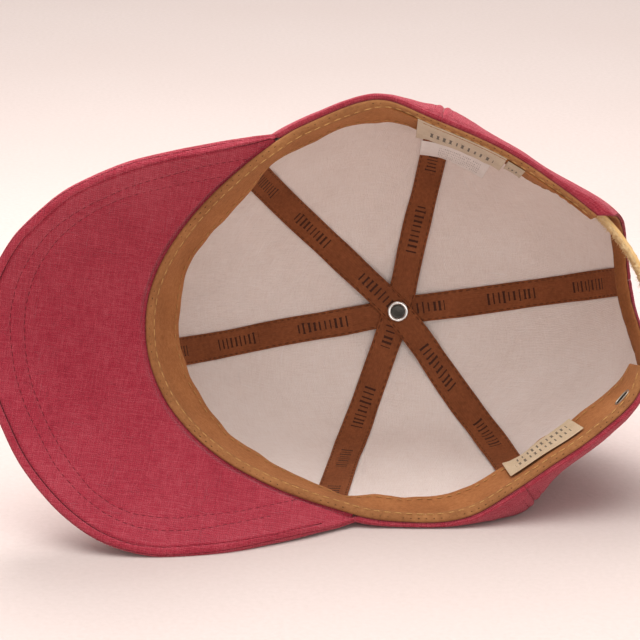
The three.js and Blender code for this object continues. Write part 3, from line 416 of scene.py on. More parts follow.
# ---------------------------------------------------------------- crown panels
NAMES = {0: "back_panel_left", 1: "side_panel_left", 2: "front_panel_left", 3: "front_panel_right", 4: "side_panel_right", 5: "back_panel_right"}
def span(k): return (SEAMS[5] - 360, SEAMS[0]) if k == 5 else (SEAMS[k], SEAMS[k + 1])
def panel_columns(a, b, half, fine=True):
    near = [0, .14, .35, .6, .9, 1.25, 1.6, 2.0, 2.4, 2.9, 3.5, 4.3, 5.3, 6.5] if fine else [0, .2, .7, 1.6, 2.8, 4.2, 6.0]
    step = 1.15 if fine else 1.7
    L = [a + x for x in near] + [b - x for x in near] + list(np.arange(a + near[-1] + step, b - near[-1] - step * 0.5, step))
    edge = ARCH_MID + np.array([-1, 1])[:, None] * half * np.cos(np.radians([0.6, 4, 8, 12, 17, 23, 30, 38, 46, 54]))[None]
    edge = np.concatenate([edge.ravel(), ARCH_MID + np.array([-1, 1]) * (half + 0.25), ARCH_MID + np.array([-1, 1]) * (half + 0.03)])
    for e in edge:
        q = e if e < b + 1 else e - 360
        if a + 0.3 < q < b - 0.3: L.append(q)
    L = np.unique(np.round(L, 4)); keep = [L[0]]
    for x in L[1:-1]:
        if x - keep[-1] > 0.02 and L[-1] - x > 0.02: keep.append(x)
    return np.array(keep + [L[-1]])
def seam_relief(th, f, a, b, k=1.0):
    """Distance below the plain outer face caused by the seams and the topstitching beside them."""
    r, y = wallRY(th, f); mm = np.maximum(r, 4) * U * (1 + y / FAR) * PI / 180; out = 0
    amp = np.clip(r / 60, 0.25, 1)
    for s_ in (a, b):
        d = np.abs(th - s_) * mm
        out = out + amp * (0.50 * np.exp(-(d / 0.6) ** 2) - 0.34 * np.exp(-((d - 1.9) / 1.1) ** 2) + 0.20 * np.exp(-((d - 3.5) / 0.5) ** 2) - 0.12 * np.exp(-((d - 5.0) / 1.2) ** 2))
    return out * k
def crown_wrinkle(th, f, seed):
    r, y = wallRY(th, f); t = np.radians(th); x, z = r * np.cos(t) * U, r * np.sin(t) * U
    v = 0.34 * fbm(x / 21 + y / 30, z / 21 - y / 34, seed, 3) + 0.12 * vnoise(np.radians(th) * r * U / 6.5, y / 16, seed + 9)
    return v * smooth(0, 10, y - rimY(th))
FOLD_A = [(-1.5, 1.9), (-0.6, 1.15), (0.9, 0.55), (2.7, 0.2), (4.2, 0.18), (5.1, 0.55), (5.45, 1.0)]
FOLD_B = [(-1.5, 2.4), (-0.2, 1.9), (1.2, 1.45), (2.2, 1.25), (3.0, 1.3), (3.1, 1.6), (3.1, 1.9)]
PA = {}
for k in range(6):
    a, b = span(k); th = panel_columns(a, b, ARCH_HALF); n = len(th)
    inner = np.concatenate([[a + 0.03], th[1:-1], [b - 0.03]])
    y0 = rimY(th); plain = np.maximum(liftY(th) - 0.35 * np.sign(liftY(th)), archY(th, ARCH_HALF, ARCH_HIGH)); base = y0 + plain
    steps = np.array([1.3, 1.7, 2.3, 3.1, 4.1, 5.3, 6.8]) - 1.3
    ys = base[:, None] + 1.3 * 0 + steps[None] + np.where(plain > 0.5, 0.35, 1.3)[:, None]
    f_lo = fOfY(th[:, None], ys); f_end = fOfR(th, np.full(n, 9.5))
    up = np.linspace(0, 1, 62)[1:]; f_hi = f_lo[:, -1:] + (f_end[:, None] - f_lo[:, -1:]) * up[None]
    f = np.concatenate([f_lo, f_hi], 1); TH = np.broadcast_to(inner[:, None], f.shape)
    nearby = np.where((np.abs(turn(TH - ARCH_MID)) < ARCH_HALF), 0.25 + 0.75 * smooth(0, 7, wallRY(TH, f)[1] - base[:, None]), 1.0)
    dis = seam_relief(TH, f, a, b) * nearby - crown_wrinkle(TH, f, 11)
    A = wall(TH, f, dis); B = wall(TH, f, dis * 0.55 + 0.95)
    phi = (1 - smooth(0, 4.4, liftY(th))) * smooth(ARCH_HALF + 0.1, ARCH_HALF + 1.6, np.abs(turn(th - ARCH_MID)))
    rb = at(TRB, th); fa, fb = [], []
    for j, ((qa, ya), (qb, yb)) in enumerate(zip(FOLD_A, FOLD_B)):
        extra = 7 * gauss(th, 27, 8) * smooth(-1.5, 5, qa)
        wob = (0.30 * fbm(th / 2.3, 0.5, 31 + j // 3, 2) + 0.45 * vnoise(th / 7.5, 0.5, 29)) * (0.3 + 0.7 * (1 < j < 6))
        seamd = 0.30 * (np.exp(-((th - a) / 0.32) ** 2) + np.exp(-((th - b) / 0.32) ** 2)) * (1 < j)
        Pa = rest(polar(inner, rb + qa + extra, y0 + ya + seamd - wob * 0.4)); Pb = rest(polar(inner, rb + qb + extra * 0.8, y0 + yb + seamd * 0.5 - wob * 0.4))
        t = (j + 1) / (len(FOLD_A) + 0.5)
        f0 = fOfY(th, base + 0.30 * (1 - t) ** 2 + 0.30 * t ** 2); Qa = wall(inner, f0, 0.85 * (1 - t) + dis[:, 0] * t)
        Qb = wall(inner, fOfY(th, base + 0.32 + 0.2 * t), 0.95 + 0.02 * t)
        fa.append(lerp(Qa, Pa, phi[:, None])); fb.append(lerp(Qb, Pb, phi[:, None]))
    A = np.concatenate([np.stack(fa, 1), A], 1); B = np.concatenate([np.stack(fb, 1), B], 1)
    uvp = arc_uv(A); midc = len(th) // 2
    lens = uvp[midc:midc + 1, :, 1]; u_mm = np.radians(th - (a + b) / 2)[:, None] * np.maximum(at(TR1, th)[:, None], 10) * U
    uvg = np.stack([u_mm * np.clip(1.0 - 0.0 * lens, 0.05, 1) * np.concatenate([np.ones((n, 7)), np.clip(wallRY(TH, f)[0] / at(TR1, th)[:, None], 0.04, 1.1)], 1), np.broadcast_to(lens, A.shape[:2])], -1)
    uvg = uvg + np.array([k * 171.0, k * 59.0])
    o = slab(NAMES[k] + "_cloth", A, B, uvg, "linen", pinch=0.5, edges="jJ", slot="linen")
    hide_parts(NAMES[k])
    PA[k] = o

# ---------------------------------------------------------------- lining panels
SOFT[0] = 5.5
def lining_fold(th, f, a, b, seed):
    r, y = wallRY(th, f); mm = np.maximum(r, 4) * U * (1 + y / FAR) * PI / 180
    d = np.minimum(np.abs(th - a), np.abs(th - b)) * mm; t = np.radians(th); x, z = r * np.cos(t) * U, r * np.sin(t) * U
    soft_ = smooth(4.5, 20, d)
    v = 0.78 * fbm(x / 19 + y / 60, z / 19 - y / 50, seed, 3) * soft_
    v = v + 0.30 * fbm((x + z) / 34, (x - z) / 8.5, seed + 5, 2) * soft_
    v = v + 0.20 * np.sin(np.hypot(x, z) * 2 * PI / 9.5 + 2.5 * vnoise(x / 14, z / 14, seed + 3)) * np.exp(-np.maximum(d - 6.2, 0) / 5.5) * smooth(2, 6, d)
    return np.clip(v, -0.55, 0.95)
for k in range(6):
    a, b = span(k); half = ARCH_HALF + 3.9; th = panel_columns(a, b, half, False); n = len(th)
    inner = np.concatenate([[a + 0.06], th[1:-1], [b - 0.06]]); y0 = rimY(th)
    base = np.maximum(y0 + 5.2, y0 + archY(th, half, ARCH_HIGH + 6.2))
    f0 = fOfY(th, base); f1 = fOfR(th, np.full(n, 9.5)); tt = ends(64, 0.004)
    fc = fOfY(th, y0 + 5.2)[:, None]; f = np.maximum(fc + (f1[:, None] - fc) * tt[None], f0[:, None] + 0.012 * tt[None]); TH = np.broadcast_to(inner[:, None], f.shape)
    v = lining_fold(TH, f, a, b, 40 + k)
    A = wall(TH, f, IN0 + v); B = wall(TH, f, IN0 + 0.55 + v)
    x = polar(TH, *wallRY(TH, f)); uvg = np.stack([x[..., 0], x[..., 2]], -1)
    steep = arc_uv(A)[len(th) // 2, :, 1]
    t_mid = math.radians((a + b) / 2); rr = steep[-1] - steep
    ang = np.radians(th - (a + b) / 2)[:, None] * np.clip(wallRY(TH, f)[0] / at(TR1, th)[:, None], 0.03, 1.1) * at(TR1, th)[:, None] * U
    uvg = np.stack([rr[None] * math.cos(t_mid) - ang * math.sin(t_mid), rr[None] * math.sin(t_mid) + ang * math.cos(t_mid)], -1)
    nm = NAMES[k].replace("panel", "lining")
    o = slab(nm + "_cloth", A, B, uvg, "lining", slot="lining"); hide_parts(nm)

# ---------------------------------------------------------------- seam tapes
def tape(name, a, b, level, yA, yB, seed):
    fa = lerp(fOfY(a, yA), fOfR(a, 14.0), np.linspace(0, 1, 46) ** 0.95); fb = lerp(fOfY(b, yB), fOfR(b, 14.0), np.linspace(0, 1, 46) ** 0.95)
    ra, rb_ = wallRY(a, fa)[0], wallRY(b, fb)[0]
    pa, pb = np.radians(a), np.radians(b); C = [(r * math.cos(pa), r * math.sin(pa)) for r in ra]
    q0 = np.array([14 * math.cos(pa), 14 * math.sin(pa)]); q1 = np.array([14 * math.cos(pb), 14 * math.sin(pb)])
    C += [tuple(lerp(q0, q1, t)) for t in np.linspace(0, 1, 9)[1:-1]] + [(r * math.cos(pb), r * math.sin(pb)) for r in rb_[::-1]]
    C = np.array(C); R = np.hypot(C[:, 0], C[:, 1])
    for _ in range(14):
        S = C.copy(); S[1:-1] = (C[:-2] + 2 * C[1:-1] + C[2:]) / 4; w = smooth(60, 25, R)[:, None]; C = lerp(C, S, w)
    d = np.gradient(C, axis=0); d /= np.linalg.norm(d, axis=1, keepdims=True); per = np.stack([-d[:, 1], d[:, 0]], 1)
    across = np.array([-1, -.965, -.90, -.6, -.2, .2, .6, .90, .965, 1]) * 6.0
    R = np.hypot(C[:, 0], C[:, 1]); T = np.degrees(np.arctan2(C[:, 1], C[:, 0])); yy = wallRY(T, fOfR(T, R))[1]
    cum = np.concatenate([[0], np.cumsum(np.linalg.norm(np.diff(C, axis=0), axis=1) * U)])
    shift = 0.35 * vnoise(cum / 26, 0.0, seed); wd = 1 + 0.03 * vnoise(cum / 11, 2.0, seed)
    W = (across[None] * wd[:, None] + shift[:, None]) / (U * (1 + yy / FAR))[:, None]
    Q = C[:, None] + per[:, None] * W[..., None]; RR = np.hypot(Q[..., 0], Q[..., 1]); TT = np.degrees(np.arctan2(Q[..., 1], Q[..., 0])); F = fOfR(TT, RR)
    if level:                          # keep the lower half of the ribbon straight and of one width where the side is flattened
        bb = math.radians(b); nx, nz = -math.sin(bb), math.cos(bb); k0 = (R > 45) & (np.arange(len(R)) > len(R) // 2)
        FF = np.where(k0[:, None], F[:, 4:5], F); T2 = TT.copy()
        def side(T_):
            P_ = wall(T_, FF, 3.05); k_ = U * (1 + P_[..., 1] / FAR); return ((P_[..., 0] / k_ - HUB[0]) * nx + (P_[..., 2] / k_ - HUB[1]) * nz)
        for _ in range(14):
            e_ = side(T2) - W; g__ = (side(T2 + 0.4) - side(T2 - 0.4)) / 0.8; T2 = T2 - np.clip(e_ / np.where(np.abs(g__) < 0.5, 0.5, g__), -2.5, 2.5) * 0.8
        bl = (smooth(45, 70, R) * k0)[:, None]; TT, F = lerp(TT, np.where(k0[:, None], T2, TT), bl), lerp(F, FF, bl)
    near = 1 - smooth(30, 84, RR); o = lerp(3.05, IN2 + 0.75 * level, near) + 0.10 * fbm(cum[:, None] / 7, across[None] / 9, seed + 2, 2)
    o = o + 0.12 * (np.abs(across[None]) / 6) ** 4 * vnoise(cum[:, None] / 5.0, np.sign(across)[None] * 3, seed + 4)
    A, B = wall(TT, F, o + 0.5), wall(TT, F, o)
    P = wall(TT, F, o); cm = np.concatenate([[0], np.cumsum(np.linalg.norm(np.diff(P[:, 4], axis=0), axis=1))])
    uvg = np.stack(np.broadcast_arrays(cm[:, None] + seed * 13.0, across[None]), -1)
    ob = slab(name + "_ribbon", A, B, uvg, "tape", edges="ijIJ", slot="tape"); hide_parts(name)
    out = []
    for i, sgn in ((2, -1), (7, 1)):
        pts = lerp(A[:, i], A[:, i + (1 if sgn < 0 else -1)], 0.12); out.append((pts[1:-1], (A - B)[1:-1, i]))
    return out, cm[-1]
rim = lambda t: float(rimY(t))
TS, TAPE_L = [], {}
for nm, a, b, lv, ya, yb, sd in (("seam_tape_front_back", 190.7, 7.8, 0, rim(190.7) + 25, 55.4, 2), ("seam_tape_left_side", 77, 250.4, 1, 25.0, rim(250) + 22, 3), ("seam_tape_right_side", 136, 306, 2, rim(136) + 24, 22.0, 4)):
    p, L = tape(nm, a, b, lv, ya, yb, sd); TS += p; TAPE_L[nm] = L
stitches("seam_tape_stitching", TS, 2.1, 1.0, 0.50, "th_brown", 0.34, 0.10, seed=3)
SOFT[0] = 0.8

# ---------------------------------------------------------------- sweatband and binding
def bandPt(th, s_, off, wave=True):
    th, s_, off = np.broadcast_arrays(A_(th), A_(s_), A_(off))
    ro = at(TRB, th) - 8.6; ri = at(TRIN, th); y0 = rimY(th) + 3.2; y1 = rimY(th) * 0.6 + bandY(th)
    y = lerp(y0, y1, s_); r = lerp(ro, ri, s_ ** 1.15); t = np.radians(th)
    d = unit(np.stack([(ri - ro) * U * np.cos(t), y1 - y0, (ri - ro) * U * np.sin(t)], -1)); tn = np.stack([-np.sin(t), 0 * t, np.cos(t)], -1)
    n = unit(np.cross(d, tn)); n = np.where((n[..., 0] * np.cos(t) + n[..., 2] * np.sin(t))[..., None] < 0, -n, n)
    if wave: off = off + smooth(0.1, 1, s_) * (0.75 * vnoise(th / 11, 0.0, 5) + 0.50 * vnoise(th / 4.6, 1.0, 6)) + 0.22 * np.sin(PI * s_)
    return polar(th, r, y) + n * off[..., None]
thb = 25.4 + (347.4 - 25.4) * ends(250, 0.0006); sb = ends(22, 0.014)
A, B = bandPt(thb[:, None], sb[None], 0.0), bandPt(thb[:, None], sb[None], 1.05)
g = arc_uv(A); uvg = np.stack([np.broadcast_to(g[:, 10:11, 0], A.shape[:2]), g[..., 1]], -1)
o = slab("sweatband_suede", A, B, uvg, "suede", slot="suede"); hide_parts("sweatband")
BAND_L = float(g[-1, 10, 0])
thn = np.linspace(26.0, 346.8, 700)
stitches("sweatband_edge_stitching", [(bandPt(thn, 0.84, -0.30), bandPt(thn, 0.84, -1) - bandPt(thn, 0.84, 0))], 2.5, 1.5, 0.46, "th_tan", 0.32, 0.06, seed=4)
# folded edge: a soft flattened roll, its outer side against the crown cloth
prof = [(-10.6, 2.2, 0), (-10.7, 1.75, 0), (-10.3, 1.25, 0), (-9.5, 0.95, 0), (-8.4, 0.72, 0), (-7.2, 0.42, 0), (-5.9, 0.14, 0), (-4.7, 0.10, 0), (-3.4, -0.04, 0), (-2.2, 0.0, 0), (-1.2, 0.30, 0), (-0.75, 0.85, 0), (-0.95, 1.5, 0), (-2.0, 1.95, 0), (-5.0, 2.25, 0), (-8.5, 2.6, 0)]
q = np.array([p[0] for p in prof]); yv = np.array([p[1] for p in prof])
thr = 25.4 + (347.4 - 25.4) * ends(300, 0.0005); rb = at(TRB, thr)
wob = 0.5 * fbm(thr / 5.0, 0.0, 61, 2); puck = 0.10 * np.sin(np.radians(thr) * 92 * 2 * PI / 4.1)
KB = lambda th: 1 - 0.40 * smooth(100, 88, A_(th)) - 0.10 * np.exp(-((A_(th) - 320) / 25) ** 2)
R_ = rb[:, None] + q[None] * KB(thr)[:, None] + (wob[:, None] * (q < -8)[None]); Y_ = rimY(thr)[:, None] + yv[None] + puck[:, None] * np.exp(-((q + 8.6) / 1.6) ** 2)[None] + 0.12 * fbm(thr[:, None] / 3.1, q[None] / 5, 66, 2)
V = rest(polar(thr[:, None], R_, Y_)); cen = V.mean(1, keepdims=True); V[0] = lerp(cen[0], V[0], 0.5); V[-1] = lerp(cen[-1], V[-1], 0.5)
n_, m_ = V.shape[:2]; F = []
for i in range(n_ - 1):
    for j in range(m_): j2 = (j + 1) % m_; F.append([i * m_ + j, i * m_ + j2, (i + 1) * m_ + j2, (i + 1) * m_ + j])
F = np.array(F)
if volume(V, F) < 0: F = F[:, ::-1]
caps = [list(range(m_)), [(n_ - 1) * m_ + j for j in range(m_)][::-1]]
cum = np.concatenate([[0], np.cumsum(np.linalg.norm(np.diff(V[:, 8], axis=0), axis=1))])
uvg = np.stack(np.broadcast_arrays(cum[:, None], np.concatenate([[0], np.cumsum(np.hypot(np.diff(q) * U, np.diff(yv)))])[None]), -1)
o = mesh("sweatband_binding_fold", V, np.array(F.tolist() + caps, dtype=object), "binding", uvg, slot="binding"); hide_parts("sweatband_binding")
def on_binding(th, qq, up=0.0):
    yy = np.interp(qq, np.array([-10.3, -9.5, -8.4, -7.2, -5.9, -4.7, -3.4, -2.2, -1.2]), np.array([1.25, .95, .72, .42, .14, .10, -.04, 0, .30]))
    return polar(th, at(TRB, th) + qq * KB(th), rimY(th) + yy - up)
nrm = lambda th: np.tile(np.array([0.0, -1.0, 0.0]), (len(th), 1))
stitches("binding_stitching", [(on_binding(thn, -9.4, 0.05), nrm(thn))], 3.0, 1.15, 0.5, "th_tan", 0.36, 0.05, seed=5)
# needle holes are small raised dots in a dark colour, which is painted shade of the holes
stitches("binding_needle_holes", [(on_binding(thn, -4.7, -0.02), nrm(thn))], 0.8, 2.2, 0.38, "hole", 0.2, 0.0, seed=6)

# ---------------------------------------------------------------- visor
EDGE = np.array([[277,135.2,2.2],[249,139,-4],[210,146.2,-14],[170,154.2,-23],[130,163.8,-31],[90,179.5,-37],[60,195.5,-39],[30,220.8,-38],[10,242.8,-35],[-8,276,-29],[-17,312,-22],[-19.5,345,-18.5],[-15,383,-17],[0,423.4,-18],[20,464,-20.5],[50,502.6,-24],[81,529.3,-27],[111,545,-29],[150,554.4,-29.5],[190,553.8,-28],[230,549.4,-24.5],[270,541,-18],[309,532.4,-10],[335,527,-3],[356.5,519.6,1.6]])
EDGE = np.stack([EDGE[:, 0] - 320, 320 - EDGE[:, 1], EDGE[:, 2]], 1)
EL = np.concatenate([[0], np.cumsum(np.hypot(*np.diff(EDGE[:, :2], axis=0).T))])
def alongEdge(u):
    s_ = A_(u) * EL[-1]; i = np.clip(np.searchsorted(EL, s_), 1, len(EL) - 1); f = ((s_ - EL[i - 1]) / (EL[i] - EL[i - 1]))[..., None]
    g = lambda k: EDGE[np.clip(k, 0, len(EDGE) - 1)]; a, b, e, d = g(i - 2), g(i - 1), g(i), g(i + 1)
    return b + 0.5 * f * (e - a + f * (2 * a - 5 * b + 4 * e - d + f * (3 * (b - e) + d - a)))
def visorMid(u, w):
    u, w = np.broadcast_arrays(A_(u), A_(w)); th = lerp(125.2, 258.0, u); r = at(TRB, th) + 4.6; e = alongEdge(u); t = np.radians(th)
    y0 = rimY(th) + 2.0; g = 0.75 * w + 0.25 * w * w
    return ray(lerp(HUB[0] + r * np.cos(t), e[..., 0], w), lerp(HUB[1] + r * np.sin(t), e[..., 1], w), lerp(y0, e[..., 2], g))
def visorN(u, w):
    a = visorMid(np.minimum(1, u + 0.004), w) - visorMid(np.maximum(0, u - 0.004), w); w0 = np.clip(w, 0.03, 0.97)
    n = unit(np.cross(a, visorMid(u, w0 + 0.03) - visorMid(u, w0 - 0.03))); return np.where(n[..., 1:2] < 0, -n, n)
def visorPt(u, w, off): u, w, off = np.broadcast_arrays(A_(u), A_(w), A_(off)); return visorMid(u, w) + visorN(u, w) * off[..., None]
def px(p): k = U * (1 + p[..., 1] / FAR); return np.stack([320 + p[..., 0] / k, 320 - p[..., 2] / k], -1)
ROW1 = [[(0,273),(20,239),(40,218.5),(60,204),(81,192),(101,182.7),(121,174.7),(141,168),(170.5,160),(210.5,152.6),(250,146.3),(271.5,141)],
        [(0,412),(10.5,436),(20,451),(40,481.5),(60,505.7),(81,521.5),(101,533),(121,540.4),(141,544.7),(160,546.8),(181,546),(200,544.7),(240,540.4),(280,533),(322,521.5)]]
ROW2 = [[(10,320),(11.6,305),(15.8,288),(21,273.6),(29.5,259),(40,244),(50.5,230.5),(70.5,216.8),(90.5,205),(111.5,195.8),(130.5,187.3),(150.5,181),(170.5,175.8),(190.5,170),(210.5,165),(248,159.6)],
        [(10,320),(10.4,335),(11.6,350),(14.7,371),(20,390),(27.4,411),(40,436),(50.5,457),(60,472),(81,495),(101,511),(121,521.5),(141,527.8),(160,530),(181,530),(200,529),(221,524.7),(240,521.5),(273.6,515)]]
ROW3 = [[(24.8,320),(25.3,307),(29.5,292.6),(32.6,280),(40,265),(50.5,249.4),(60,236.8),(81,220.6),(101,208.4),(121,200),(141,193.6),(160,189.4),(181,184.8),(210.5,179),(223,176.8)],
        [(24.8,320),(24.8,335),(25.3,350),(28.4,371),(33.7,390),(42,411),(50.5,430),(60,446.8),(70.5,463.6),(90.5,489),(111.5,504.7),(130.5,513),(160,517.3),(181,517.3),(200,515),(240,511),(259,506.8),(299,498.8)]]
def polyline(rows, join=False):
    up_, lo = [A_(r) for r in rows]
    if join: p = np.concatenate([up_[::-1], [(-13, 300), (-16.2, 345), (-11, 383)], lo])
    else: p = np.concatenate([up_[::-1], lo[1:]])
    d = np.concatenate([[0], np.cumsum(np.hypot(*np.diff(p, axis=0).T))]); s_ = np.arange(0, d[-1], 2.0)
    q_ = np.stack([np.interp(s_, d, p[:, 0]), np.interp(s_, d, p[:, 1])], 1)
    for _ in range(12): q_[1:-1] = (q_[:-2] + 2 * q_[1:-1] + q_[2:]) / 4
    return q_
UNDER = -1.8
gu, gw = np.linspace(0, 1, 241), np.linspace(0, 1, 121)
GP = px(visorPt(gu[:, None], gw[None], UNDER))
def to_uw(q_):
    out = []
    for p in q_:
        d = ((GP - p) ** 2).sum(-1); i, j = np.unravel_index(np.argmin(d), d.shape); u, w = gu[i], gw[j]
        for _ in range(6):
            e = px(visorPt(u, w, UNDER)) - p; h = 1e-3
            Ju = (px(visorPt(min(1, u + h), w, UNDER)) - px(visorPt(max(0, u - h), w, UNDER))) / (min(1, u + h) - max(0, u - h))
            Jw = (px(visorPt(u, min(1, w + h), UNDER)) - px(visorPt(u, max(0, w - h), UNDER))) / (min(1, w + h) - max(0, w - h))
            J = np.stack([Ju, Jw], 1); de = np.linalg.det(J)
            if abs(de) < 1: break
            st = np.linalg.solve(J, e); u, w = float(np.clip(u - st[0], 0, 1)), float(np.clip(w - st[1], 0, 0.985))
        out.append((u, w))
    o_ = np.array(out)
    for _ in range(4): o_[1:-1] = (o_[:-2] + 2 * o_[1:-1] + o_[2:]) / 4
    return o_
ROWS = [to_uw(polyline(ROW1, True)), to_uw(polyline(ROW2)), to_uw(polyline(ROW3))]
ROWS[0][:, 1] = np.clip(ROWS[0][:, 1], 0.0, 0.955)
DEEP = np.linalg.norm(visorMid(gu, 1.0 + 0 * gu) - visorMid(gu, 0 * gu), axis=-1)
RW = [visorMid(r[:, 0], r[:, 1]) for r in ROWS]
def row_dist(P, k):
    Q = RW[k][::1]; flat = P.reshape(-1, 3); out = np.empty(len(flat))
    for i in range(0, len(flat), 4000):
        d = flat[i:i + 4000, None] - Q[None]; dd = (d ** 2).sum(-1); j = dd.argmin(1); best = dd[np.arange(len(j)), j]
        for st in (-1, 1):
            j2 = np.clip(j + st, 0, len(Q) - 1); ab = Q[j2] - Q[j]; L2 = np.maximum((ab ** 2).sum(-1), 1e-9); pt = flat[i:i + 4000] - Q[j]
            t = np.clip((pt * ab).sum(-1) / L2, 0, 1)[:, None]; best = np.minimum(best, ((pt - ab * t) ** 2).sum(-1))
        out[i:i + 4000] = np.sqrt(best)
    return out.reshape(P.shape[:-1])
uu = lerp(0.003, 0.997, ends(240, 0.0012)); w1 = 0.962
ww = np.concatenate([np.linspace(0, 0.55, 22), np.linspace(0.55, w1, 92)[1:], w1 + (1 - w1) * np.sin(np.radians([12, 25, 38, 50, 61, 71, 80, 86, 90]))])
full = np.minimum(smooth(0, 0.09, uu), smooth(1, 0.91, uu))
def cover_relief(side, UU, W):
    mid = visorMid(UU, W); d1, d2, d3 = (row_dist(mid, k) for k in range(3)); full_ = np.minimum(smooth(0, 0.09, UU), smooth(1, 0.91, UU)); s_ = lerp(0.5, 1, full_)
    roll = np.sqrt(np.maximum(0, 1 - np.clip((W - w1) / (1 - w1), 0, 1) ** 2))
    rel = 0.26 * np.exp(-(d2 / 0.55) ** 2) + 0.26 * np.exp(-(d3 / 0.55) ** 2) - 0.10 * np.exp(-((d2 - 2.2) / 1.4) ** 2) - 0.10 * np.exp(-((d3 - 2.2) / 1.4) ** 2)
    od = np.argsort(ROWS[0][:, 0]); out_side = smooth(-0.006, 0.006, W - np.interp(UU, ROWS[0][od, 0], ROWS[0][od, 1]))
    if side < 0: rel = rel + 0.95 * np.exp(-(d1 / 0.55) ** 2) - 0.30 * out_side * smooth(0.3, 1.2, d1) - 0.10 * np.exp(-((d1 - 1.6) / 0.9) ** 2)
    else: rel = rel + 0.30 * np.exp(-(d1 / 0.5) ** 2) - 0.12 * np.exp(-((d1 - 1.9) / 1.0) ** 2)
    x, z = mid[..., 0], mid[..., 2]
    rel = rel - (0.22 * fbm(x / 30, z / 26, 71 + side, 3) + 0.08 * vnoise(x / 6, z / 7, 75)) * smooth(0, 0.1, W) * roll
    return mid, np.maximum(0.10, (1.8 - rel) * roll) * s_, roll * s_
def visor_cover(name, side, mat, slot_):
    W, UU = np.broadcast_to(ww[None], (len(uu), len(ww))), np.broadcast_to(uu[:, None], (len(uu), len(ww)))
    nrm_ = visorN(UU, W); mid, H, rs = cover_relief(side, UU, W); h = np.maximum(0.05, H - 0.65 * rs)
    A = mid + nrm_ * (side * H)[..., None]; B = mid + nrm_ * (side * h)[..., None]
    if side < 0:                       # run on under the binding
        th = lerp(125.2, 258.0, uu); ex_a, ex_b = [], []
        for t in (1.0, 0.8, 0.6, 0.4, 0.2):
            r = at(TRB, th) + lerp(4.6, -2.4, t); ya = lerp(A[:, 0, 1], rimY(th) + 2.25, t ** 1.6)
            e = polar(th, r, ya); e = lerp(e, A[:, 0] + (e - polar(th, at(TRB, th) + 4.6, ya)), 0.0)
            ex_a.append(e); ex_b.append(e + np.array([0, 0.55, 0]))
        A = np.concatenate([np.stack(ex_a, 1), A], 1); B = np.concatenate([np.stack(ex_b, 1), B], 1)
    else:                              # turned up against the front panels
        th = lerp(125.2, 258.0, uu); ex_a, ex_b = [], []
        for t in (1.0, 0.6, 0.3):
            e = polar(th, at(TRB, th) + 4.6 - 3.2 * t, A[:, 0, 1] + 0.5 * t); ex_a.append(e); ex_b.append(e + np.array([0, -0.5, 0]))
        A = np.concatenate([np.stack(ex_a, 1), A], 1); B = np.concatenate([np.stack(ex_b, 1), B], 1)
    uvg = np.stack([A[..., 0], A[..., 2]], -1)
    return slab(name + "_cloth", A, B, uvg, mat, pinch=0.5, edges="iIj", slot=slot_)
o = visor_cover("visor_under_cover", -1, "linen_in", "linen"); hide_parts("visor_under_cover")
o = visor_cover("visor_top_cover", 1, "linen", "linen"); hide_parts("visor_top_cover")
def visor_path(k, side, sink):
    u_, w_ = ROWS[k].T; ok_ = (u_ > 0.008) & (u_ < 0.992); u_, w_ = u_[ok_], w_[ok_]; n_u = visorN(u_, w_) * side; m_, H_, _ = cover_relief(side, u_, w_)
    return m_ + n_u * (H_ - sink)[:, None], n_u
stitches("visor_stitching", [visor_path(1, -1, 0.0), visor_path(2, -1, 0.0)], 2.5, 0.55, 0.44, "th_red", 0.3, 0.03, seed=7)
# painted shade: a thin dark cord along the visor's edge seam stands for the shadow in the seam groove
tube("visor_edge_seam", [visor_path(0, -1, -0.10)[0]], [0.30], "seam_groove_shade", 6, slot="linen")
stitches("visor_edge_stitching", [visor_path(0, -1, -0.32)], 2.2, 1.0, 0.36, "th_red", 0.28, 0.0, seed=8)
stitches("visor_top_stitching", [visor_path(k, 1, 0.0) for k in range(3)], 2.6, 0.8, 0.50, "th_top", 0.32, 0.03, seed=9)

# ---------------------------------------------------------------- topstitching of the crown seams
sp = []
for k, th_s in enumerate(SEAMS):
    for sg in (-1, 1):
        y_lo = rim(th_s) + max(float(liftY(th_s)) + 1.0, 2.6)
        if abs(float(turn(th_s - ARCH_MID))) < ARCH_HALF: y_lo = rim(th_s) + float(archY(th_s, ARCH_HALF, ARCH_HIGH)) + 1.2
        f = np.linspace(float(fOfY(th_s, y_lo)), float(fOfR(th_s, 26.0)), 150); r, y = wallRY(th_s, f)
        t_ = th_s + sg * 3.5 / (np.maximum(r, 4) * U * (1 + y / FAR) * PI / 180); kk = k if sg > 0 else (k - 1) % 6
        a, b = span(kk); t2 = np.where(t_ > b + 1, t_ - 360, t_) if kk == 5 else t_
        off = seam_relief(t2, f, a, b) - crown_wrinkle(t2, f, 11)
        P = wall(t2, f, off - 0.03); sp.append((P, wall(t2, f, -1.0) - wall(t2, f, 0.0)))
stitches("crown_topstitching", sp, 2.5, 0.9, 0.48, "th_top", 0.32, 0.03, seed=10)

# ---------------------------------------------------------------- binding of the back opening
ps = lerp(0.075, PI - 0.075, ends(84, 0.004))
U_prof = [(7.9, 3.15), (7.6, 3.62), (5.0, 3.72), (2.2, 3.3), (0.7, 2.7), (0.12, 2.2), (-0.15, 1.8), (0.0, 1.4), (0.5, 1.22), (1.6, 1.6), (4.2, 2.65), (7.4, 2.95)]
ring = []
for g_, o_ in U_prof:
    gg = g_ + 0.15 * fbm(ps * 14, g_ / 4, 81, 2)
    half = ARCH_HALF + np.degrees(gg / 98); high = ARCH_HIGH + gg; th = ARCH_MID + half * np.cos(ps); y = np.maximum(3.4 + 0 * ps, high * np.sin(ps))
    ring.append(wall(th, fOfY(th, y), o_ + 0.12 * fbm(ps * 11, g_ / 3, 83, 2)))
V = np.stack(ring, 1); n_, m_ = V.shape[:2]; F = []
for i in range(n_ - 1):
    for j in range(m_): j2 = (j + 1) % m_; F.append([i * m_ + j, i * m_ + j2, (i + 1) * m_ + j2, (i + 1) * m_ + j])
F = np.array(F)
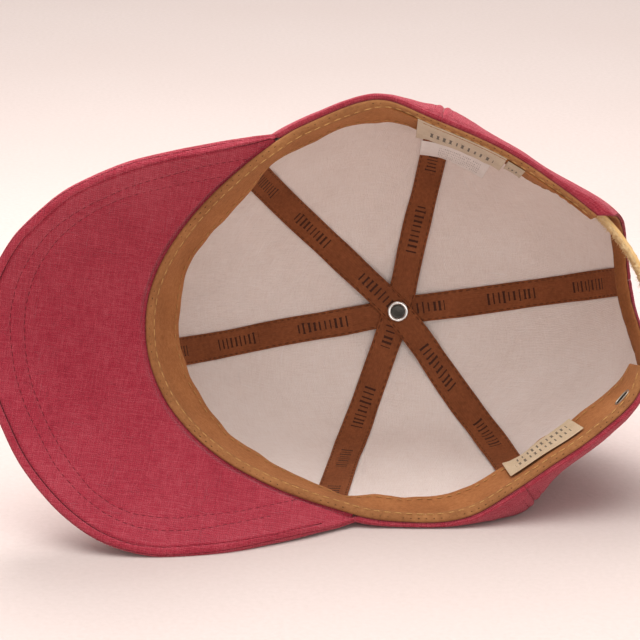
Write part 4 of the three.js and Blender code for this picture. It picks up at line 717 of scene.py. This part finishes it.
if volume(V, F) < 0: F = F[:, ::-1]
caps = [list(range(m_)), [(n_ - 1) * m_ + j for j in range(m_)][::-1]]
cum = np.concatenate([[0], np.cumsum(np.linalg.norm(np.diff(V[:, 4], axis=0), axis=1))]); ARCH_L = float(cum[-1])
pq = np.array(U_prof); uvg = np.stack(np.broadcast_arrays(cum[:, None], np.concatenate([[0], np.cumsum(np.hypot(*np.diff(pq, axis=0).T))])[None]), -1)
o = mesh("back_arch_binding_fold", V, np.array(F.tolist() + caps, dtype=object), "arch", uvg, slot="tape"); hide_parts("back_arch_binding")
def on_arch(g_, off):
    p_ = np.linspace(0.1, PI - 0.1, 260); half = ARCH_HALF + math.degrees(g_ / 98); th = ARCH_MID + half * np.cos(p_); y = np.maximum(3.4, (ARCH_HIGH + g_) * np.sin(p_))
    return wall(th, fOfY(th, y), off)
stitches("back_arch_stitching", [(on_arch(6.2, 3.70), on_arch(6.2, 4.5) - on_arch(6.2, 3.5)), (on_arch(3.6, -0.06), on_arch(3.6, -1.5) - on_arch(3.6, -0.5))], 2.4, 1.0, 0.42, "th_mid", 0.3, 0.02, seed=11)

# ---------------------------------------------------------------- strap, tab, clasp
def onArc(a, r, y):
    a, r, y = np.broadcast_arrays(A_(a), A_(r), A_(y)); t = np.radians(a)
    return np.stack([STRAP["x"] + r * np.cos(t), y, STRAP["z"] + r * np.sin(t)], -1)
sa = lerp(STRAP["a0"], STRAP["a1"], ends(150, 0.0012)); sy = ends(20, 0.02)
cut = np.interp(sa, [-20, -19.3, -17.5, -15], [6.0, 3.4, 1.0, 0.0]); y_lo, y_hi = STRAP["y0"] + cut, STRAP["y1"] - cut
Y = lerp(y_lo[:, None], y_hi[:, None], sy[None]); AA = np.broadcast_to(sa[:, None], Y.shape)
edge = np.minimum(sy, 1 - sy)[None] * 17.8
rag = smooth(1.2, 0.0, edge) * (0.30 * vnoise(AA * 2.1, 0.0, 91) + 0.22 * vnoise(AA * 5.3, 3.0, 92))
nap = 0.22 * fbm(AA * 1.1, Y / 1.3, 93, 2) - 0.1
A = onArc(AA, STRAP["r"] + 0.9 - 0.14 * smooth(1.0, 0, edge), Y); B = onArc(AA, STRAP["r"] - 0.9 + 0.1 * smooth(0.8, 0, edge) + rag * 0.8 + nap, Y)
B[..., 1] += rag * np.where(sy < 0.5, -1, 1)[None] * 0.7
uvg = np.stack([np.radians(AA) * STRAP["r"], Y], -1)
o = slab("strap_leather_band", A, B, uvg, "leather", pinch=0.40, body="strap", slot="leather"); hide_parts("strap")
rng = np.random.RandomState(5); P_, R_f = [], []
for k in range(900):
    a0 = rng.uniform(10, STRAP["a1"] - 0.5) if k % 3 else rng.uniform(10, STRAP["a1"] - 1); side_y = STRAP["y0"] if k % 5 else STRAP["y1"]; sg = -1 if k % 5 else 1
    L = rng.uniform(0.6, 2.2); da = rng.uniform(-0.9, 0.9); rr = STRAP["r"] - 0.9 + rng.uniform(-0.05, 0.75); t = np.linspace(0, 1, 5)
    inn = rng.uniform(0.2, 1.0) * L; yy = side_y - sg * 0.15 + sg * t * rng.uniform(-0.1, 0.35) + 0.15 * sg * np.sin(t * 3)
    P_.append(onArc(a0 + da * t ** 1.4, rr - inn * t ** 1.2, yy)); R_f.append(lerp(0.15, 0.05, t))
for k in range(1500):
    a0 = rng.uniform(10, STRAP["a1"] - 1); y = rng.uniform(STRAP["y0"] + 0.3, STRAP["y1"] - 0.3); t = np.linspace(0, 1, 5)
    P_.append(onArc(a0 + rng.uniform(-0.9, 0.9) * t, STRAP["r"] - 0.9 - rng.uniform(0.15, 0.85) * np.sin(t * PI * rng.uniform(0.4, 0.85)), y + rng.uniform(-1.2, 0.9) * t)); R_f.append(lerp(0.13, 0.05, t))
tube("strap_raw_fibres", P_, R_f, "fibre", 4, body="strap", slot="leather")
se = np.linspace(-13, 49.5, 300)
stitches("strap_stitching", [(onArc(se, STRAP["r"] + 0.93, STRAP["y0"] + 2.0 + 0 * se), onArc(se, 2.0, 0 * se) - onArc(se, 1.0, 0 * se)), (onArc(se, STRAP["r"] + 0.93, STRAP["y1"] - 2.0 + 0 * se), onArc(se, 2.0, 0 * se) - onArc(se, 1.0, 0 * se))], 2.8, 1.1, 0.5, "th_tan", 0.34, 0.02, body="strap", seed=12)
ta = lerp(-18.5, -8.8, ends(14, 0.01)); ty = lerp(STRAP["y0"] - 0.6, STRAP["y1"] + 0.6, ends(14, 0.02))
wv = 0.06 * fbm(ta[:, None], ty[None] / 3, 95, 2)
A, B = onArc(ta[:, None], STRAP["r"] - 2.14 + wv * 0, ty[None]), onArc(ta[:, None], STRAP["r"] - 2.62 + wv, ty[None])
o = slab("clasp_tab_cloth", A, B, np.stack(np.broadcast_arrays(np.radians(ta)[:, None] * 76, ty[None]), -1), "linen", slot="linen"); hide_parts("clasp_tab")
nodes = {o.get("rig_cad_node"): o for o in bpy.data.objects if "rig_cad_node" in o}
def dress(node, mat, bevel=0.0, seg=3, subdiv=0):
    ob = nodes[node]; ob.data.materials.clear(); ob.data.materials.append(M[mat])
    if bevel:
        md = ob.modifiers.new("edge", "BEVEL"); md.width = bevel; md.segments = seg; md.limit_method = "ANGLE"; md.angle_limit = math.radians(28); md.harden_normals = False
        wn = ob.modifiers.new("flat", "WEIGHTED_NORMAL"); wn.keep_sharp = True
for nd, bw in (("clasp_frame", 0.0003), ("clasp_lever", 0.0003), ("clasp_pin", 0.00012)): dress(nd, "steel", bw)
dress("visor_board", "board")

# ---------------------------------------------------------------- eyelet in the band
def loft(name, rings, mat, closed_ends=True, **kw):
    V = np.stack(rings); n_, m_ = V.shape[:2]; F = []
    for i in range(n_ - 1):
        for j in range(m_): j2 = (j + 1) % m_; F.append([i * m_ + j, i * m_ + j2, (i + 1) * m_ + j2, (i + 1) * m_ + j])
    F = np.array(F)
    if volume(V, F) < 0: F = F[:, ::-1]
    fl = F.tolist()
    if closed_ends: fl += [list(range(m_)), [(n_ - 1) * m_ + j for j in range(m_)][::-1]]
    elif closed_ends is None: pass
    return mesh(name, V, np.array(fl, dtype=object), mat, **kw)
def torus(name, rings_fn, prof_, seg, mat, **kw):
    """Closed ring: prof_ is a closed section, rings_fn(angle, section point) a position."""
    V = np.stack([np.stack([rings_fn(2 * PI * i / seg, p) for p in prof_]) for i in range(seg)]); m_ = len(prof_); F = []
    for i in range(seg):
        for j in range(m_): i2, j2 = (i + 1) % seg, (j + 1) % m_; F.append([i * m_ + j, i * m_ + j2, i2 * m_ + j2, i2 * m_ + j])
    F = np.array(F)
    if volume(V, F) < 0: F = F[:, ::-1]
    return mesh(name, V, F, mat, **kw)
the, se_ = -20.9, 0.24
c0 = bandPt(the, se_, -0.15); te = unit(bandPt(the + 1, se_, 0) - bandPt(the - 1, se_, 0)); de = unit(bandPt(the, se_ + 0.05, 0) - bandPt(the, se_ - 0.05, 0)); ne = unit(np.cross(te, de))
if ne[0] * math.cos(math.radians(the)) + ne[2] * math.sin(math.radians(the)) > 0: ne = -ne
def oblong(q_, grow):
    cx, cy = math.cos(q_), math.sin(q_); e = 0.62
    return te * (3.3 + grow * 1.25) * np.sign(cx) * abs(cx) ** e + de * (2.0 + grow * 0.8) * np.sign(cy) * abs(cy) ** e
sec = [(0.52, 0.0), (0.48, 0.24), (0.26, 0.40), (0.04, 0.34), (-0.10, 0.12), (-0.12, -0.1), (0.2, -0.3)]
o = torus("slot_eyelet_ring", lambda a_, p: c0 + oblong(a_, p[0]) + ne * p[1], sec, 44, "eyelet", slot="steel"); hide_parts("slot_eyelet")
# painted shade: a dark sheet closes the eyelet's opening, standing for the shade inside it
rings = [[c0 + oblong(2 * PI * i / 44, g_) + ne * h_ for i in range(44)] for g_, h_ in ((0.3, -0.12), (0.25, 0.06), (-0.3, 0.08), (-1.2, 0.04))]
loft("slot_eyelet_slot", [np.stack(r) for r in rings], "slot", slot="steel")

# ---------------------------------------------------------------- labels
def label_pt(th, s_, q0, q1, y0, y1, up):
    """Point of a label that is caught in the binding and lies over the band, its free edge standing off it."""
    th, s_, up = np.broadcast_arrays(A_(th), A_(s_), A_(up)); r = lerp(at(TRB, th) + q0, at(TRIN, th) + q1, s_ ** 1.05) - up / U
    return polar(th, r, rimY(th) + lerp(y0, y1, s_))
def on_band_label(name, a0, a1, q0, q1, y0, y1, t, mat, node, curl=0.0, seed=0):
    th = lerp(a0, a1, ends(46, 0.006)); s_ = ends(14, 0.02)
    w_ = 0.16 * fbm(th[:, None] / 4.0, s_[None] * 2, 101 + seed, 2) * smooth(0, 0.4, s_)[None] + 0.25 * np.sin(PI * s_[None])
    tt = (th - a0) / (a1 - a0); en = np.minimum(tt, 1 - tt)[:, None]
    w_ = w_ + curl * smooth(0.12, 0, en) * s_[None] ** 1.5
    A = label_pt(th[:, None], s_[None], q0, q1, y0, y1, w_ + t); B = label_pt(th[:, None], s_[None], q0, q1, y0, y1, w_)
    g_ = arc_uv(A); uvg = np.stack([np.broadcast_to(g_[:, 5:6, 0], A.shape[:2]), g_[..., 1]], -1)
    o = slab(name, A, B, uvg, mat, slot="label"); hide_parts(node)
on_band_label("brand_label_woven", 54.2, 84.0, -6.2, -7.0, 1.9, 25.0, 0.42, "label", "brand_label", 0.25, 1)
on_band_label("origin_label_woven", -55.5, -32.0, -14.5, -0.5, 9.0, 25.0, 0.42, "label2", "origin_label", 0.45, 2)
on_band_label("size_label_woven", 47.6, 53.6, -7.6, -2.5, 2.4, 24.0, 0.40, "label3", "size_label", 0.3, 3)
ct, cv = ends(30, 0.008), ends(26, 0.01)
th = lerp(57.6, 82.0, ct)[:, None]; v = cv[None]
y = lerp(31.0, 51.0, v); r = lerp(173.0, 159.0, v) - 1.2 * np.sin(PI * v) - 1.1 * v * np.sin(ct[:, None] * 5.2 + 0.6) * 0.8 - 0.5 * fbm(ct[:, None] * 3, v * 2, 111, 2) * v
A = polar(th, r - 0.7, y); B = polar(th, r, y); g_ = arc_uv(A); uvg = np.stack([np.broadcast_to(g_[:, 12:13, 0], A.shape[:2]), g_[..., 1]], -1)
o = slab("care_label_satin", A, B, uvg, "satin", body="care_label", slot="satin"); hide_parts("care_label"); S4 = (float(g_[-1, 12, 0]), float(g_[15, -1, 1]))
th = np.linspace(54.9, 83.1, 120)
stitches("label_stitching", [(label_pt(th, 0.07, -6.2, -7.0, 1.9, 25.0, 0.53), polar(th, at(TRB, th) - 30.0, 0.0) - polar(th, at(TRB, th), 8.0))], 1.9, 0.8, 0.34, "th_mid", 0.26, 0.0, seed=13)

# ---------------------------------------------------------------- button and rivet
def lathe(name, prof_, seg, mat, seed=0, rough_=0.0, slot=None, uv_k=1.0):
    cx = HUB[0] * U * (1 + DEPTH / FAR); cz = HUB[1] * U * (1 + DEPTH / FAR); pr = A_(prof_)
    d = np.concatenate([[0], np.cumsum(np.hypot(*np.diff(pr, axis=0).T))]); s_ = np.linspace(0, d[-1], len(pr) * 5); pr = np.stack([np.interp(s_, d, pr[:, 0]), np.interp(s_, d, pr[:, 1])], 1)
    for _ in range(3): pr[1:-1] = (pr[:-2] + 2 * pr[1:-1] + pr[2:]) / 4
    q_ = np.arange(seg) * 2 * PI / seg; rr = np.maximum(pr[:, 0], 0.02)[:, None]; X = cx + rr * np.cos(q_)[None]; Z = cz + rr * np.sin(q_)[None]; Y_ = np.broadcast_to(pr[:, 1:2], X.shape)
    if rough_: bump_ = rough_ * fbm(X / 4.0, Z / 4.0, seed, 3); k_ = 1 + bump_ / 12; X = cx + (X - cx) * k_; Z = cz + (Z - cz) * k_; Y_ = Y_ + bump_ * 0.6
    V = np.stack([X, Y_, Z], -1); n_, m_ = V.shape[:2]; F = []
    for i in range(n_ - 1):
        for j in range(m_): j2 = (j + 1) % m_; F.append([i * m_ + j, i * m_ + j2, (i + 1) * m_ + j2, (i + 1) * m_ + j])
    F = np.array(F)
    if volume(V, F) < 0: F = F[:, ::-1]
    fl = F.tolist() + [list(range(m_)), [(n_ - 1) * m_ + j for j in range(m_)][::-1]]
    return mesh(name, V, np.array(fl, dtype=object), mat, np.stack([V[..., 0], V[..., 2]], -1).reshape(-1, 2), slot=slot)
y = DEPTH
o = lathe("top_button_cover", [(0, y + 0.3), (6.6, y + 0.2), (7.5, y + 0.6), (7.8, y + 1.3), (7.5, y + 2.3), (6.6, y + 3.3), (5, y + 4.2), (2.5, y + 4.85), (0, y + 5)], 64, "linen", 121, 0.22, "linen"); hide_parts("top_button")
b_ = DEPTH - (IN2 + 0.6 + 1.8) - 0.5
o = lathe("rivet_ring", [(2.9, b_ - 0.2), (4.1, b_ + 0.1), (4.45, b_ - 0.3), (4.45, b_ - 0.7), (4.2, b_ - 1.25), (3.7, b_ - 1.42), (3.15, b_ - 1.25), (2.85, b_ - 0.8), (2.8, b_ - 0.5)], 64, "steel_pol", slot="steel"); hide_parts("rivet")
lathe("rivet_dish_centre", [(0, b_ - 0.15), (2.95, b_ - 0.2), (3.0, b_ - 0.5), (2.6, b_ - 0.62), (1.6, b_ - 0.55), (0, b_ - 0.5)], 48, "dish", slot="steel")

# ---------------------------------------------------------------- floor and light
s = Sh("floor_paper", 0.85, 0, 0.1); o_ = s.obj(); nz = s.noise(o_, 420, 3, 0.6); bg = s.noise(o_, 5, 2)
c = s.mix(s.map(nz, 0.3, 0.7), lin("#cfc2bc"), lin("#d5c8c3")); c = s.mix(s.map(bg, 0.35, 0.65, 0, 0.4), c, lin("#cfc0ba"))
FLOOR = s.finish(c, s.bump(nz, 0.0002))
prof = [(-2.2, 0.0), (1.6, 0.0), (2.0, 0.03), (2.4, 0.16), (2.7, 0.42), (2.85, 0.8), (2.9, 2.4)]
V = [(x, y_, z_) for y_, z_ in prof for x in (-2.6, 2.6)]; F = [(2 * i, 2 * i + 1, 2 * i + 3, 2 * i + 2) for i in range(len(prof) - 1)]
me = bpy.data.meshes.new("studio_floor"); me.from_pydata(V, [], F); me.materials.append(FLOOR); me.update()
for p in me.polygons: p.use_smooth = True
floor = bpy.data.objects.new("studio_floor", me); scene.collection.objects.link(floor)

w = bpy.data.worlds.new("studio"); scene.world = w; w.use_nodes = True
bgn = w.node_tree.nodes["Background"]; bgn.inputs[0].default_value = (1.0, 0.965, 0.955, 1); bgn.inputs[1].default_value = 0.57
def area(name, loc, aim, size, power, col=(1, 0.975, 0.965), sy=None):
    l = bpy.data.lights.new(name, "AREA"); l.energy = power; l.size = size; l.color = col
    if sy: l.shape = "RECTANGLE"; l.size_y = sy
    o = bpy.data.objects.new(name, l); o.location = loc; o.rotation_euler = (Vector(aim) - Vector(loc)).to_track_quat("-Z", "Y").to_euler(); scene.collection.objects.link(o)
area("key", (-0.20, -0.30, 1.7), (0, 0, 0.05), 1.6, 24.5)
area("fill", (0.75, -1.5, 0.55), (0, 0, 0.08), 1.0, 3.4)
area("low", (-0.25, -1.7, 0.10), (-0.08, 0, 0.03), 0.8, 4.8)
area("back", (0.1, 1.0, 1.5), (0, 0.1, 0.0), 1.2, 9)
area("rim", (-0.12, 0.30, 0.62), (-0.04, 0, 0.14), 0.30, 2.6)
scene.view_settings.view_transform = "Standard"
scene.view_settings.look = "None"
scene.view_settings.exposure = 0.0
scene.view_settings.gamma = 1.0
